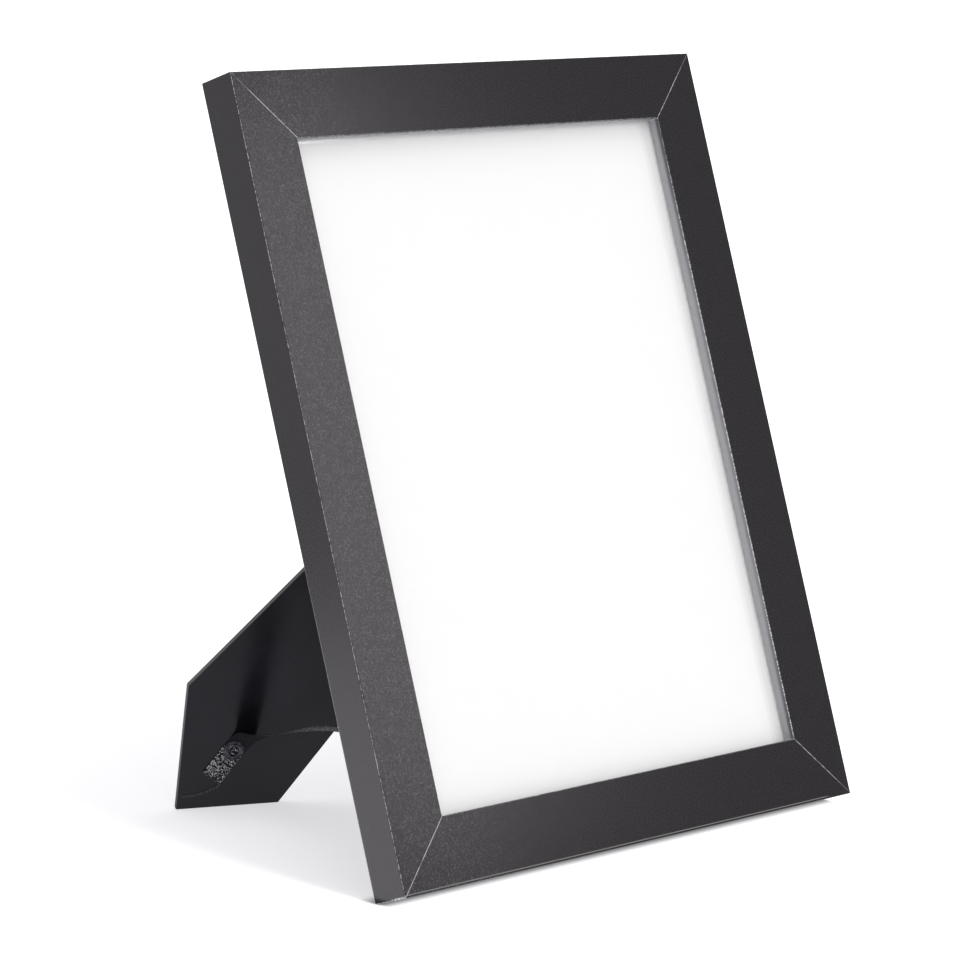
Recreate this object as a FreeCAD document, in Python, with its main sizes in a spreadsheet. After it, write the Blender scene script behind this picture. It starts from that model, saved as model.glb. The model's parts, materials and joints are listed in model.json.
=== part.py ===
"""Easel back photo frame, standing in portrait on its open two-way strut.

Four mitred rails hold glass, a plain sheet, a filler card and a backboard that six
turn tabs lock into a kerf. A picket-shaped strut hangs on a rolled-knuckle hinge that
is turned on the board, so that one of its two foot edges meets the table in portrait
and the other in landscape. A ribbon between two eyelets stops the strut.

Lengths are millimetres and angles degrees. The frame is drawn upright first: X to the
right seen from the front, Y towards the back with zero at the back of the rails, Z up
with zero at the underside. Then everything leans back onto the floor at height zero.
"""
import FreeCAD, Part
import math
import os
import Sketcher

Vector = FreeCAD.Vector
Placement = FreeCAD.Placement
Rotation = FreeCAD.Rotation

DRIVING_SIZES = {
    # Sheet, glass and boards
    "sheet_width": 215.9,
    "sheet_height": 279.4,
    "sheet_thickness": 0.3,
    "glass_thickness": 2.0,
    "glass_chamfer": 0.3,
    "filler_thickness": 1.5,
    "backboard_thickness": 3.0,
    "backboard_chamfer": 0.4,
    # Rails
    "rail_width": 28.0,
    "rail_depth": 18.4,
    "lip_depth": 5.25,
    "lip_overlap": 3.175,
    "rebate_clearance": 0.8,
    "front_edge_radius": 0.5,
    "back_edge_radius": 1.3,
    "cut_overrun": 1.0,
    # Nails pressed across the mitres
    "nail_wing": 3.6,
    "nail_thickness": 0.4,
    "nail_height": 7.0,
    "nail_sink": 0.2,
    "nail_half_angle": 52.0,
    # Turn tabs
    "tab_width": 8.0,
    "tab_thickness": 0.8,
    "tab_front": 15.5,
    "tab_rear": 3.5,
    "tab_edge_round": 0.25,
    "tab_inset": 11.0,
    "tab_spread": 75.0,
    "tab_play": 0.05,
    "kerf_play": 0.3,
    "kerf_end_play": 0.5,
    # Rivets of the tabs and of the hinge
    "tab_rivet_shank": 1.5,
    "tab_rivet_head": 3.0,
    "tab_rivet_dome": 1.1,
    "tab_rivet_set": 2.4,
    "tab_rivet_set_thickness": 0.5,
    "hinge_rivet_shank": 1.2,
    "hinge_rivet_head": 2.4,
    "hinge_rivet_dome": 0.9,
    "hinge_rivet_set": 2.0,
    "hinge_rivet_set_thickness": 0.45,
    "pierce_clearance": 0.05,
    "dent_clearance": 0.6,
    # Hinge
    "hinge_side": 42.5,
    "hinge_rise": 41.5,
    "hinge_turn": 39.0,
    "hinge_width": 38.0,
    "leaf_thickness": 0.6,
    "leaf_corner_radius": 2.5,
    "board_leaf_length": 15.0,
    "strut_leaf_length": 17.0,
    "hinge_rivet_reach": 9.5,
    "hinge_rivet_spread": 13.0,
    "knuckle_gap": 0.3,
    "pin_clearance": 0.05,
    "pin_head_radius": 1.75,
    "pin_head_length": 0.6,
    # Strut
    "lean": 17.5,
    "open_angle": 42.0,
    "strut_thickness": 3.0,
    "strut_gap": 0.3,
    "strut_top_gap": 0.65,
    "strut_top_width": 41.0,
    "strut_foot_width": 70.8,
    "strut_top_radius": 5.0,
    "strut_edge_round": 0.25,
    "landscape_foot_angle": 53.0,
    # Eyelets and ribbon
    "eyelet_side": 1.4,
    "strut_eyelet_reach": 226.3,
    "board_eyelet_reach": 175.0,
    "eyelet_barrel_radius": 2.55,
    "eyelet_wall": 0.35,
    "eyelet_flange_radius": 4.55,
    "eyelet_flange_thickness": 0.35,
    "eyelet_rim_width": 0.9,
    "eyelet_rim_height": 0.9,
    "eyelet_curl_radius": 3.6,
    "eyelet_curl_thickness": 0.4,
    "washer_radius": 4.4,
    "washer_thickness": 0.4,
    "ribbon_width": 10.0,
    "ribbon_thickness": 0.45,
    "ribbon_lead": 5.2,
    "ribbon_tail_length": 15.2,
    "ribbon_board_tail": 9.0,
    "ribbon_board_bend": 5.5,
    "ribbon_strut_bend": 8.0,
}

NAIL_SHARES = (0.32, 0.66)
DOME_SHARE = 0.92
RIM_ROUND_SHARE = 0.45
KNUCKLE_COUNT = 5

# Two places nearer than this are one
SAME_PLACE = 1e-4

# A sketch numbers its own axes down from -1, and the points of an element up from 1
HORIZONTAL_AXIS, VERTICAL_AXIS = range(-1, -3, -1)
START, END, CENTRE = range(1, 4)
ORIGIN = (HORIZONTAL_AXIS, START)


class Size:
    """A value with the sheet formula that gives it, so one sum draws a sketch and binds it."""

    def __init__(self, value, formula):
        self.value = value
        self.formula = formula

    def __add__(self, other):
        other = as_size(other)
        return Size(self.value + other.value, f"({self.formula} + {other.formula})")

    def __sub__(self, other):
        other = as_size(other)
        return Size(self.value - other.value, f"({self.formula} - {other.formula})")

    def __mul__(self, other):
        other = as_size(other)
        return Size(self.value * other.value, f"{self.formula} * {other.formula}")

    def __truediv__(self, other):
        other = as_size(other)
        return Size(self.value / other.value, f"{self.formula} / ({other.formula})")

    def __neg__(self):
        return Size(-self.value, f"(-1 * {self.formula})")

    def __rmul__(self, other):
        return as_size(other) * self


def as_size(number):
    """Let a plain ratio or zero stand beside named sizes."""
    if isinstance(number, Size):
        return number
    return Size(number, f"({number!r})")


def sine(angle):
    return Size(math.sin(math.radians(angle.value)), f"sin({angle.formula} * 1 deg)")


def cosine(angle):
    return Size(math.cos(math.radians(angle.value)), f"cos({angle.formula} * 1 deg)")


def tangent(angle):
    return Size(math.tan(math.radians(angle.value)), f"tan({angle.formula} * 1 deg)")


def other_side(ratio):
    """The cosine that goes with a sine, or the sine that goes with a cosine."""
    return Size(math.sqrt(1 - ratio.value ** 2), f"sqrt(1 - {ratio.formula} * {ratio.formula})")


class Named:
    """Gives each driving size by its name: size.rail_width and so on."""

    def __init__(self, table):
        for name, value in table.items():
            setattr(self, name, Size(value, "Sizes." + name))


doc = FreeCAD.newDocument("easel_back_photo_frame")
sheet = doc.addObject("Spreadsheet::Sheet", "Sizes")
for row, (name, value) in enumerate(DRIVING_SIZES.items(), start=1):
    sheet.set(f"A{row}", name)
    sheet.set(f"B{row}", str(value))
    sheet.setAlias(f"B{row}", name)
doc.recompute()

size = Named(DRIVING_SIZES)
nodes = {}


# Sizes that follow from the driving ones

opening_width = size.sheet_width - 2 * size.lip_overlap
opening_height = size.sheet_height - 2 * size.lip_overlap
frame_width = opening_width + 2 * size.rail_width
frame_height = opening_height + 2 * size.rail_width
rebate_wall = size.rail_width - size.lip_overlap - size.rebate_clearance

front_face = -size.rail_depth
glass_front = front_face + size.lip_depth
sheet_front = glass_front + size.glass_thickness
filler_front = sheet_front + size.sheet_thickness
board_front = filler_front + size.filler_thickness
board_back = board_front + size.backboard_thickness

kerf_front = board_back + size.tab_play - size.kerf_play
kerf_back = board_back + size.tab_play + size.tab_thickness + size.kerf_play
kerf_depth = size.tab_front - size.tab_inset - size.rebate_clearance + size.kerf_end_play

knuckle_radius = 0.5 * (size.strut_gap + size.strut_thickness + size.leaf_thickness)
bore_radius = knuckle_radius - size.leaf_thickness
pin_radius = bore_radius - size.pin_clearance
pin_depth = board_back + knuckle_radius
pin_height = 0.5 * frame_height + size.hinge_rise
strut_inner_face = knuckle_radius - size.leaf_thickness - size.strut_thickness

floor_rise = size.back_edge_radius * (sine(size.lean) + cosine(size.lean) - 1)


def hinge_to_frame(across, along):
    """Turn a place in the hinge's own directions into X and Z from the frame's centre."""
    x = size.hinge_side + across * cosine(size.hinge_turn) + along * sine(size.hinge_turn)
    z = size.hinge_rise - across * sine(size.hinge_turn) + along * cosine(size.hinge_turn)
    return x, z


def foot_reach(across):
    """Distance from the pin, down the open strut's inner face, to the table at one width.

    The foot's edge is rounded, so its sharp corner would reach a little below the table.
    """
    up_pin = pin_height * cosine(size.lean) - pin_depth * sine(size.lean)
    up_across = -sine(size.hinge_turn) * cosine(size.lean)
    up_face = (sine(size.open_angle) * cosine(size.hinge_turn) * cosine(size.lean)
               - cosine(size.open_angle) * sine(size.lean))
    fall = (cosine(size.open_angle) * cosine(size.hinge_turn) * cosine(size.lean)
            + sine(size.open_angle) * sine(size.lean))
    corner_rise = size.strut_edge_round * (up_face + other_side(up_face) - 1)
    height = up_pin + strut_inner_face * up_face + across * up_across - floor_rise + corner_rise
    return height / fall


def open_point(reach, face):
    """A place on the open strut as distance and height in the hinge's own directions."""
    along = reach * cosine(size.open_angle) - face * sine(size.open_angle)
    out = reach * sine(size.open_angle) + face * cosine(size.open_angle)
    return along, out


# Places

half_foot = 0.5 * size.strut_foot_width
apex_reach = foot_reach(as_size(0) * half_foot)
lean_rotation = Rotation(Vector(1, 0, 0), -size.lean.value)


def leaned(y, z):
    """Floor directions of an upright point, before the whole frame is centred."""
    turned = lean_rotation.multVec(Vector(0, y, z))
    return turned.y, turned.z


def whole_frame_placement():
    """Lean everything back onto the floor and centre its box front to back."""
    inset = size.front_edge_radius.value
    front = leaned(-size.rail_depth.value + inset, inset)[0] - inset
    along, out = open_point(apex_reach, strut_inner_face + size.strut_thickness)
    up = pin_height - along * cosine(size.hinge_turn)
    back = leaned(pin_depth.value + out.value, up.value)[0]
    return Placement(Vector(0, -0.5 * (front + back), -floor_rise.value), lean_rotation)


standing = whole_frame_placement()
centre_height = 0.5 * frame_height.value


def turned_about_depth(angle):
    return Rotation(Vector(0, 1, 0), angle)


def in_frame(x=0.0, y=0.0, z=0.0, angle=0.0):
    """A place in the upright frame, X and Z from its centre, turned about the depth."""
    return standing * Placement(Vector(x, y, centre_height + z), turned_about_depth(angle))


hinge_placement = in_frame(size.hinge_side.value, pin_depth.value, size.hinge_rise.value,
                           size.hinge_turn.value)
strut_placement = hinge_placement * Placement(Vector(), Rotation(Vector(1, 0, 0), size.open_angle.value))


# Drawing helpers

def new_body(label, several=False):
    body = doc.addObject("PartDesign::Body", label)
    body.Label = label
    body.AllowCompound = several
    return body


def new_sketch(body, name, plane_role, offset=None):
    """A sketch on one of the body's own origin planes, moved along its normal if asked."""
    sketch = body.newObject("Sketcher::SketchObject", f"{body.Label}_{name}")
    plane = next(part for part in body.Origin.OriginFeatures if part.Role == plane_role)
    sketch.AttachmentSupport = (plane, [""])
    sketch.MapMode = "FlatFace"
    if offset is not None:
        sketch.setExpression("AttachmentOffset.Base.z", offset.formula)
    return sketch


def hold(sketch, kind, element, point, distance):
    """Fix one coordinate of a point to a size, or put it on the axis when that is zero."""
    axis = VERTICAL_AXIS if kind == "DistanceX" else HORIZONTAL_AXIS
    if distance.value == 0:
        sketch.addConstraint(Sketcher.Constraint("PointOnObject", element, point, axis))
        return
    index = sketch.addConstraint(Sketcher.Constraint(kind, *ORIGIN, element, point, distance.value))
    sketch.setExpression(f"Constraints[{index}]", distance.formula)


def hold_radius(sketch, element, radius):
    index = sketch.addConstraint(Sketcher.Constraint("Radius", element, radius.value))
    sketch.setExpression(f"Constraints[{index}]", radius.formula)


def draw_outline(sketch, points):
    """A closed outline of straight edges through points given as pairs of sizes."""
    points = [(as_size(x), as_size(y)) for x, y in points]
    first = sketch.GeometryCount
    count = len(points)
    for index, (x, y) in enumerate(points):
        next_x, next_y = points[(index + 1) % count]
        line = Part.LineSegment(Vector(x.value, y.value, 0), Vector(next_x.value, next_y.value, 0))
        sketch.addGeometry(line, False)
    for index in range(count):
        follower = first + (index + 1) % count
        sketch.addConstraint(Sketcher.Constraint("Coincident", first + index, END, follower, START))
    for index, (x, y) in enumerate(points):
        hold(sketch, "DistanceX", first + index, START, x)
        hold(sketch, "DistanceY", first + index, START, y)


def draw_rectangle(sketch, left, bottom, right, top):
    draw_outline(sketch, [(left, bottom), (right, bottom), (right, top), (left, top)])


def draw_circle(sketch, x, y, radius):
    x = as_size(x)
    y = as_size(y)
    circle = Part.Circle(Vector(x.value, y.value, 0), Vector(0, 0, 1), radius.value)
    element = sketch.addGeometry(circle, False)
    hold(sketch, "DistanceX", element, CENTRE, x)
    hold(sketch, "DistanceY", element, CENTRE, y)
    hold_radius(sketch, element, radius)


def draw_slot(sketch, left, right, radius):
    """A strip with round ends along the horizontal axis, from one arc centre to the other."""
    low = Vector(left.value, -radius.value, 0), Vector(right.value, -radius.value, 0)
    high = Vector(right.value, radius.value, 0), Vector(left.value, radius.value, 0)
    right_circle = Part.Circle(Vector(right.value, 0, 0), Vector(0, 0, 1), radius.value)
    left_circle = Part.Circle(Vector(left.value, 0, 0), Vector(0, 0, 1), radius.value)
    quarter = math.radians(90)
    bottom = sketch.addGeometry(Part.LineSegment(*low), False)
    nose = sketch.addGeometry(Part.ArcOfCircle(right_circle, -quarter, quarter), False)
    top = sketch.addGeometry(Part.LineSegment(*high), False)
    tail = sketch.addGeometry(Part.ArcOfCircle(left_circle, quarter, 3 * quarter), False)
    ring = [bottom, nose, top, tail]
    for index, element in enumerate(ring):
        follower = ring[(index + 1) % len(ring)]
        sketch.addConstraint(Sketcher.Constraint("Tangent", element, END, follower, START))
    sketch.addConstraint(Sketcher.Constraint("Equal", nose, tail))
    for element, x in ((nose, right), (tail, left)):
        sketch.addConstraint(Sketcher.Constraint("PointOnObject", element, CENTRE, HORIZONTAL_AXIS))
        hold(sketch, "DistanceX", element, CENTRE, x)
    hold_radius(sketch, nose, radius)


def pad(body, sketch, length, symmetric=False, towards_back=False):
    feature = body.newObject("PartDesign::Pad", f"{sketch.Name}_pad")
    feature.Profile = sketch
    feature.setExpression("Length", length.formula)
    feature.SideType = "Symmetric" if symmetric else "One side"
    feature.Reversed = towards_back
    doc.recompute()
    return feature


def pocket(body, sketch, depth=None, towards_back=False):
    """Cut a sketch right through on both sides, or to a depth on one."""
    before = body.Shape.Volume
    feature = body.newObject("PartDesign::Pocket", f"{sketch.Name}_pocket")
    feature.Profile = sketch
    if depth is None:
        feature.Type = "ThroughAll"
        feature.SideType = "Symmetric"
    else:
        feature.setExpression("Length", depth.formula)
        feature.Reversed = not towards_back
    doc.recompute()
    if body.Shape.Volume >= before:
        raise RuntimeError(f"{feature.Name} cuts nothing")
    return feature


def edges_where(shape, wanted):
    return [f"Edge{index}" for index, edge in enumerate(shape.Edges, start=1) if wanted(edge)]


def round_edges(body, name, wanted, radius, kind="PartDesign::Fillet"):
    """Round or bevel the edges of the body's present shape that pass the test."""
    base = body.Tip
    edges = edges_where(base.Shape, wanted)
    if not edges:
        raise RuntimeError(f"{body.Label} has no edges for {name}")
    feature = body.newObject(kind, f"{body.Label}_{name}")
    feature.Base = (base, edges)
    feature.setExpression("Radius" if kind == "PartDesign::Fillet" else "Size", radius.formula)
    doc.recompute()
    return feature


def near(first, second):
    return abs(first - second) < SAME_PLACE


def runs_along_x(edge, y, z):
    """True for a straight edge along X at the given depth and height."""
    ends = [vertex.Point for vertex in edge.Vertexes]
    return (len(ends) == 2 and near(ends[0].y, y) and near(ends[1].y, y)
            and near(ends[0].z, z) and near(ends[1].z, z))


def lies_at_depth(edge, y):
    box = edge.BoundBox
    return near(box.YMin, y) and near(box.YMax, y)


def finish(body, placement):
    body.Placement = placement
    nodes[body.Label] = body


# Rails

def rail(label, length, placement):
    """One mitred rail: lip in front, rebate behind it and a kerf that takes the turn tabs."""
    body = new_body(label)
    profile = new_sketch(body, "profile", "YZ_Plane")
    kerf_floor = rebate_wall - kerf_depth
    draw_outline(profile, [
        (front_face, 0),
        (0, 0),
        (0, rebate_wall),
        (kerf_back, rebate_wall),
        (kerf_back, kerf_floor),
        (kerf_front, kerf_floor),
        (kerf_front, rebate_wall),
        (glass_front, rebate_wall),
        (glass_front, size.rail_width),
        (front_face, size.rail_width),
    ])
    pad(body, profile, length, symmetric=True)

    def is_front_edge(edge):
        return (runs_along_x(edge, front_face.value, 0)
                or runs_along_x(edge, front_face.value, size.rail_width.value))

    round_edges(body, "front_edges", is_front_edge, size.front_edge_radius)
    round_edges(body, "back_edge", lambda edge: runs_along_x(edge, 0, 0), size.back_edge_radius)

    mitres = new_sketch(body, "mitres", "XZ_Plane")
    over = size.cut_overrun
    for side in (-1, 1):
        end = side * 0.5 * length
        draw_outline(mitres, [
            (end + side * over, -over),
            (end + side * (over + over), -over),
            (end + side * (over + over), size.rail_width + over),
            (end - side * (size.rail_width + over), size.rail_width + over),
        ])
    pocket(body, mitres)
    finish(body, placement)


def rails():
    half_width = 0.5 * frame_width.value
    half_height = 0.5 * frame_height.value
    rail("bottom_rail", frame_width, in_frame(z=-half_height))
    rail("top_rail", frame_width, in_frame(z=half_height, angle=180))
    rail("left_rail", frame_height, in_frame(x=-half_width, angle=90))
    rail("right_rail", frame_height, in_frame(x=half_width, angle=-90))


def mitre_nails():
    """Bent steel nails pressed in from the back, two across each mitre."""
    body = new_body("mitre_nails", several=True)
    sketch = new_sketch(body, "plan", "XZ_Plane", offset=size.nail_sink)
    half = size.nail_half_angle
    wing_x = size.nail_wing * cosine(half)
    wing_z = size.nail_wing * sine(half)
    thick_along = size.nail_thickness / sine(half)
    corner_x = -0.5 * frame_width
    corner_z = -0.5 * frame_height
    diagonal = Size(math.sqrt(0.5), "sqrt(0.5)")
    for share in NAIL_SHARES:
        start = share * rebate_wall
        outline = []
        for along, across in (
                (0 * wing_x, 0 * wing_z),
                (wing_x, wing_z),
                (wing_x + thick_along, wing_z),
                (thick_along, 0 * wing_z),
                (wing_x + thick_along, -wing_z),
                (wing_x, -wing_z)):
            x = corner_x + start + (along - across) * diagonal
            z = corner_z + start + (along + across) * diagonal
            outline.append((x, z))
        draw_outline(sketch, outline)
    nails = pad(body, sketch, size.nail_height)

    mirrors = body.newObject("PartDesign::MultiTransform", "mitre_nails_mirrors")
    mirrors.Originals = [nails]
    steps = []
    for role in ("YZ_Plane", "XY_Plane"):
        step = body.newObject("PartDesign::Mirrored", f"mitre_nails_{role}")
        plane = next(part for part in body.Origin.OriginFeatures if part.Role == role)
        step.MirrorPlane = (plane, [""])
        steps.append(step)
    mirrors.Transformations = steps
    body.Tip = mirrors
    doc.recompute()
    finish(body, in_frame())


# Glass, sheet and boards

def flat_pane(label, front, thickness, holes=()):
    """A rectangle of the sheet's own size, with any round holes, standing in the rebate."""
    body = new_body(label)
    sketch = new_sketch(body, "outline", "XZ_Plane")
    half_width = 0.5 * size.sheet_width
    half_height = 0.5 * size.sheet_height
    draw_rectangle(sketch, -half_width, -half_height, half_width, half_height)
    for x, z, radius in holes:
        draw_circle(sketch, x, z, radius)
    pad(body, sketch, thickness, towards_back=True)
    finish(body, in_frame(y=front.value))
    return body


def is_outer_rim(edge, y):
    """True for the straight edges round a pane at one depth."""
    return lies_at_depth(edge, y) and len(edge.Vertexes) == 2


def tab_places():
    """The six tab pivots as name, place from the frame's centre, and direction of the tip."""
    side = 0.5 * size.sheet_width - size.tab_inset
    end = 0.5 * size.sheet_height - size.tab_inset
    middle = 0 * side
    return [
        ("tab_left_upper", -side, size.tab_spread, 180),
        ("tab_left_lower", -side, -size.tab_spread, 180),
        ("tab_right_upper", side, size.tab_spread, 0),
        ("tab_right_lower", side, -size.tab_spread, 0),
        ("tab_top", middle, end, -90),
        ("tab_bottom", middle, -end, 90),
    ]


def board_rivet_places():
    """The three rivets of the board leaf, from the frame's centre."""
    return [hinge_to_frame(step * size.hinge_rivet_spread, size.hinge_rivet_reach) for step in (-1, 0, 1)]


def board_eyelet_place():
    return hinge_to_frame(size.eyelet_side, -size.board_eyelet_reach)


def boards():
    glass = flat_pane("glass_pane", glass_front, size.glass_thickness)
    round_edges(glass, "edges", lambda edge: True, size.glass_chamfer, "PartDesign::Chamfer")

    flat_pane("picture_sheet", sheet_front, size.sheet_thickness)

    eyelet_x, eyelet_z = board_eyelet_place()
    dents = [(x, z, size.tab_rivet_set + size.dent_clearance) for _, x, z, _ in tab_places()]
    dents += [(x, z, size.hinge_rivet_set + size.dent_clearance) for x, z in board_rivet_places()]
    dents.append((eyelet_x, eyelet_z, size.washer_radius + size.dent_clearance))
    flat_pane("filler_board", filler_front, size.filler_thickness, dents)

    holes = [(x, z, size.tab_rivet_shank + size.pierce_clearance) for _, x, z, _ in tab_places()]
    holes += [(x, z, size.hinge_rivet_shank + size.pierce_clearance) for x, z in board_rivet_places()]
    holes.append((eyelet_x, eyelet_z, size.eyelet_barrel_radius + size.pierce_clearance))
    board = flat_pane("backboard", board_front, size.backboard_thickness, holes)
    thickness = size.backboard_thickness.value
    board.Placement = Placement()
    round_edges(board, "back_rim", lambda edge: is_outer_rim(edge, thickness),
                size.backboard_chamfer, "PartDesign::Chamfer")
    finish(board, in_frame(y=board_front.value))


# Rivets

def rivets(label, places, grip, shank, head, dome, set_radius, set_thickness, placement):
    """Separate rivets in one group: domed heads at the back, shanks and set heads in front."""
    body = new_body(label, several=True)
    shanks = new_sketch(body, "shanks", "XZ_Plane")
    heads = new_sketch(body, "heads", "XZ_Plane")
    sets = new_sketch(body, "sets", "XZ_Plane", offset=grip)
    for x, z in places:
        draw_circle(shanks, x, z, shank)
        draw_circle(heads, x, z, head)
        draw_circle(sets, x, z, set_radius)
    pad(body, shanks, grip)
    pad(body, heads, dome, towards_back=True)
    pad(body, sets, set_thickness)
    round_edges(body, "domes", lambda edge: lies_at_depth(edge, dome.value), DOME_SHARE * dome)
    finish(body, placement)


def tab_rivets():
    seat = board_back + size.tab_play + size.tab_thickness + size.tab_play
    rivets("tab_rivets", [(x, z) for _, x, z, _ in tab_places()], seat - board_front,
           size.tab_rivet_shank, size.tab_rivet_head, size.tab_rivet_dome,
           size.tab_rivet_set, size.tab_rivet_set_thickness, in_frame(y=seat.value))


def hinge_rivets():
    places = [(step * size.hinge_rivet_spread, size.hinge_rivet_reach) for step in (-1, 0, 1)]
    shape = (size.hinge_rivet_shank, size.hinge_rivet_head, size.hinge_rivet_dome,
             size.hinge_rivet_set, size.hinge_rivet_set_thickness)
    board_seat = size.leaf_thickness - knuckle_radius
    rivets("hinge_board_rivets", places, size.leaf_thickness + size.backboard_thickness, *shape,
           hinge_placement * Placement(Vector(0, board_seat.value, 0), Rotation()))
    down = [(x, -z) for x, z in places]
    grip = size.leaf_thickness + size.strut_thickness - size.hinge_rivet_set_thickness
    rivets("hinge_strut_rivets", down, grip, *shape,
           strut_placement * Placement(Vector(0, knuckle_radius.value, 0), Rotation()))


# Turn tabs

def turn_tab(label, x, z, direction):
    """A flat tab that swings on its rivet, its tip held in the kerf of the rail."""
    body = new_body(label)
    sketch = new_sketch(body, "plan", "XZ_Plane")
    radius = 0.5 * size.tab_width
    draw_slot(sketch, -size.tab_rear, size.tab_front - radius, radius)
    draw_circle(sketch, 0, 0, size.tab_rivet_shank + size.pierce_clearance + size.pierce_clearance)
    pad(body, sketch, size.tab_thickness, towards_back=True)
    thickness = size.tab_thickness.value
    round_edges(body, "back_rim", lambda edge: lies_at_depth(edge, thickness), size.tab_edge_round)
    seat = board_back + size.tab_play
    finish(body, in_frame(x.value, seat.value, z.value, direction))


# Hinge

def knuckle_edges(index):
    """The two ends of one knuckle's place along the pin."""
    pitch = size.hinge_width / KNUCKLE_COUNT
    left = index * pitch - 0.5 * size.hinge_width
    return left, left + pitch


def hinge_leaf(label, length, own, placement):
    """A strip rolled round the pin at one end, notched to make room for the other leaf."""
    body = new_body(label)
    profile = new_sketch(body, "profile", "YZ_Plane")
    radius = knuckle_radius
    inside = bore_radius
    meet = math.sqrt(radius.value ** 2 - inside.value ** 2)
    circle = Part.Circle(Vector(), Vector(0, 0, 1), radius.value)
    turn = math.radians(360)
    last = turn + math.atan2(meet, -inside.value)
    seat = profile.addGeometry(Part.LineSegment(Vector(-radius.value, length.value, 0),
                                                Vector(-radius.value, 0, 0)), False)
    roll = profile.addGeometry(Part.ArcOfCircle(circle, 0.5 * turn, last), False)
    top = profile.addGeometry(Part.LineSegment(Vector(-inside.value, meet, 0),
                                               Vector(-inside.value, length.value, 0)), False)
    end = profile.addGeometry(Part.LineSegment(Vector(-inside.value, length.value, 0),
                                               Vector(-radius.value, length.value, 0)), False)
    ring = [seat, roll, top, end]
    for index, element in enumerate(ring):
        follower = ring[(index + 1) % len(ring)]
        profile.addConstraint(Sketcher.Constraint("Coincident", element, END, follower, START))
    profile.addConstraint(Sketcher.Constraint("Coincident", roll, CENTRE, *ORIGIN))
    profile.addConstraint(Sketcher.Constraint("Vertical", seat))
    profile.addConstraint(Sketcher.Constraint("Vertical", top))
    profile.addConstraint(Sketcher.Constraint("Horizontal", end))
    profile.addConstraint(Sketcher.Constraint("PointOnObject", roll, START, HORIZONTAL_AXIS))
    hold_radius(profile, roll, radius)
    hold(profile, "DistanceX", top, START, -inside)
    hold(profile, "DistanceY", seat, START, length)
    draw_circle(profile, 0, 0, inside)
    pad(body, profile, size.hinge_width, symmetric=True)

    notches = new_sketch(body, "notches", "XZ_Plane")
    reach = radius + size.knuckle_gap
    for index in range(KNUCKLE_COUNT):
        if index in own:
            continue
        left, right = knuckle_edges(index)
        left = left - (0.5 * size.knuckle_gap if index > 0 else size.cut_overrun)
        right = right + (0.5 * size.knuckle_gap if index < KNUCKLE_COUNT - 1 else size.cut_overrun)
        draw_rectangle(notches, left, -reach, right, reach)
    pocket(body, notches)

    holes = new_sketch(body, "rivet_holes", "XZ_Plane")
    for step in (-1, 0, 1):
        draw_circle(holes, step * size.hinge_rivet_spread, size.hinge_rivet_reach,
                    size.hinge_rivet_shank + size.pierce_clearance)
    pocket(body, holes)

    def is_leaf_corner(edge):
        box = edge.BoundBox
        return (near(box.ZMin, length.value) and near(box.ZMax, length.value)
                and near(abs(box.XMin), 0.5 * size.hinge_width.value)
                and near(abs(box.XMax), 0.5 * size.hinge_width.value)
                and near(box.XMin, box.XMax))

    round_edges(body, "corners", is_leaf_corner, size.leaf_corner_radius)
    finish(body, placement)


def hinge_pin():
    """A straight wire through all five knuckles, peened over at both ends."""
    body = new_body("hinge_pin")
    profile = new_sketch(body, "half_profile", "XZ_Plane")
    end = 0.5 * size.hinge_width + size.pin_clearance
    cap = end + size.pin_head_length
    head = size.pin_head_radius
    draw_outline(profile, [
        (-cap, 0), (cap, 0), (cap, head), (end, head), (end, pin_radius),
        (-end, pin_radius), (-end, head), (-cap, head),
    ])
    feature = body.newObject("PartDesign::Revolution", "hinge_pin_turned")
    feature.Profile = profile
    feature.ReferenceAxis = (profile, ["H_Axis"])
    doc.recompute()
    round_edges(body, "peened_ends", lambda edge: near(abs(edge.BoundBox.XMax), cap.value)
                and near(edge.BoundBox.XMin, edge.BoundBox.XMax), RIM_ROUND_SHARE * size.pin_head_length)
    finish(body, hinge_placement)


def hinge():
    board_own = range(0, KNUCKLE_COUNT, 2)
    strut_own = range(1, KNUCKLE_COUNT, 2)
    half_turn = Placement(Vector(), Rotation(Vector(1, 0, 0), 180))
    hinge_leaf("hinge_board_leaf", size.board_leaf_length, board_own, hinge_placement)
    hinge_leaf("hinge_strut_leaf", size.strut_leaf_length, strut_own, strut_placement * half_turn)
    hinge_pin()


# Strut

def strut_face_placement():
    """The strut's own place: its inner face at zero depth, the pin along X."""
    return strut_placement * Placement(Vector(0, strut_inner_face.value, 0), Rotation())


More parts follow.
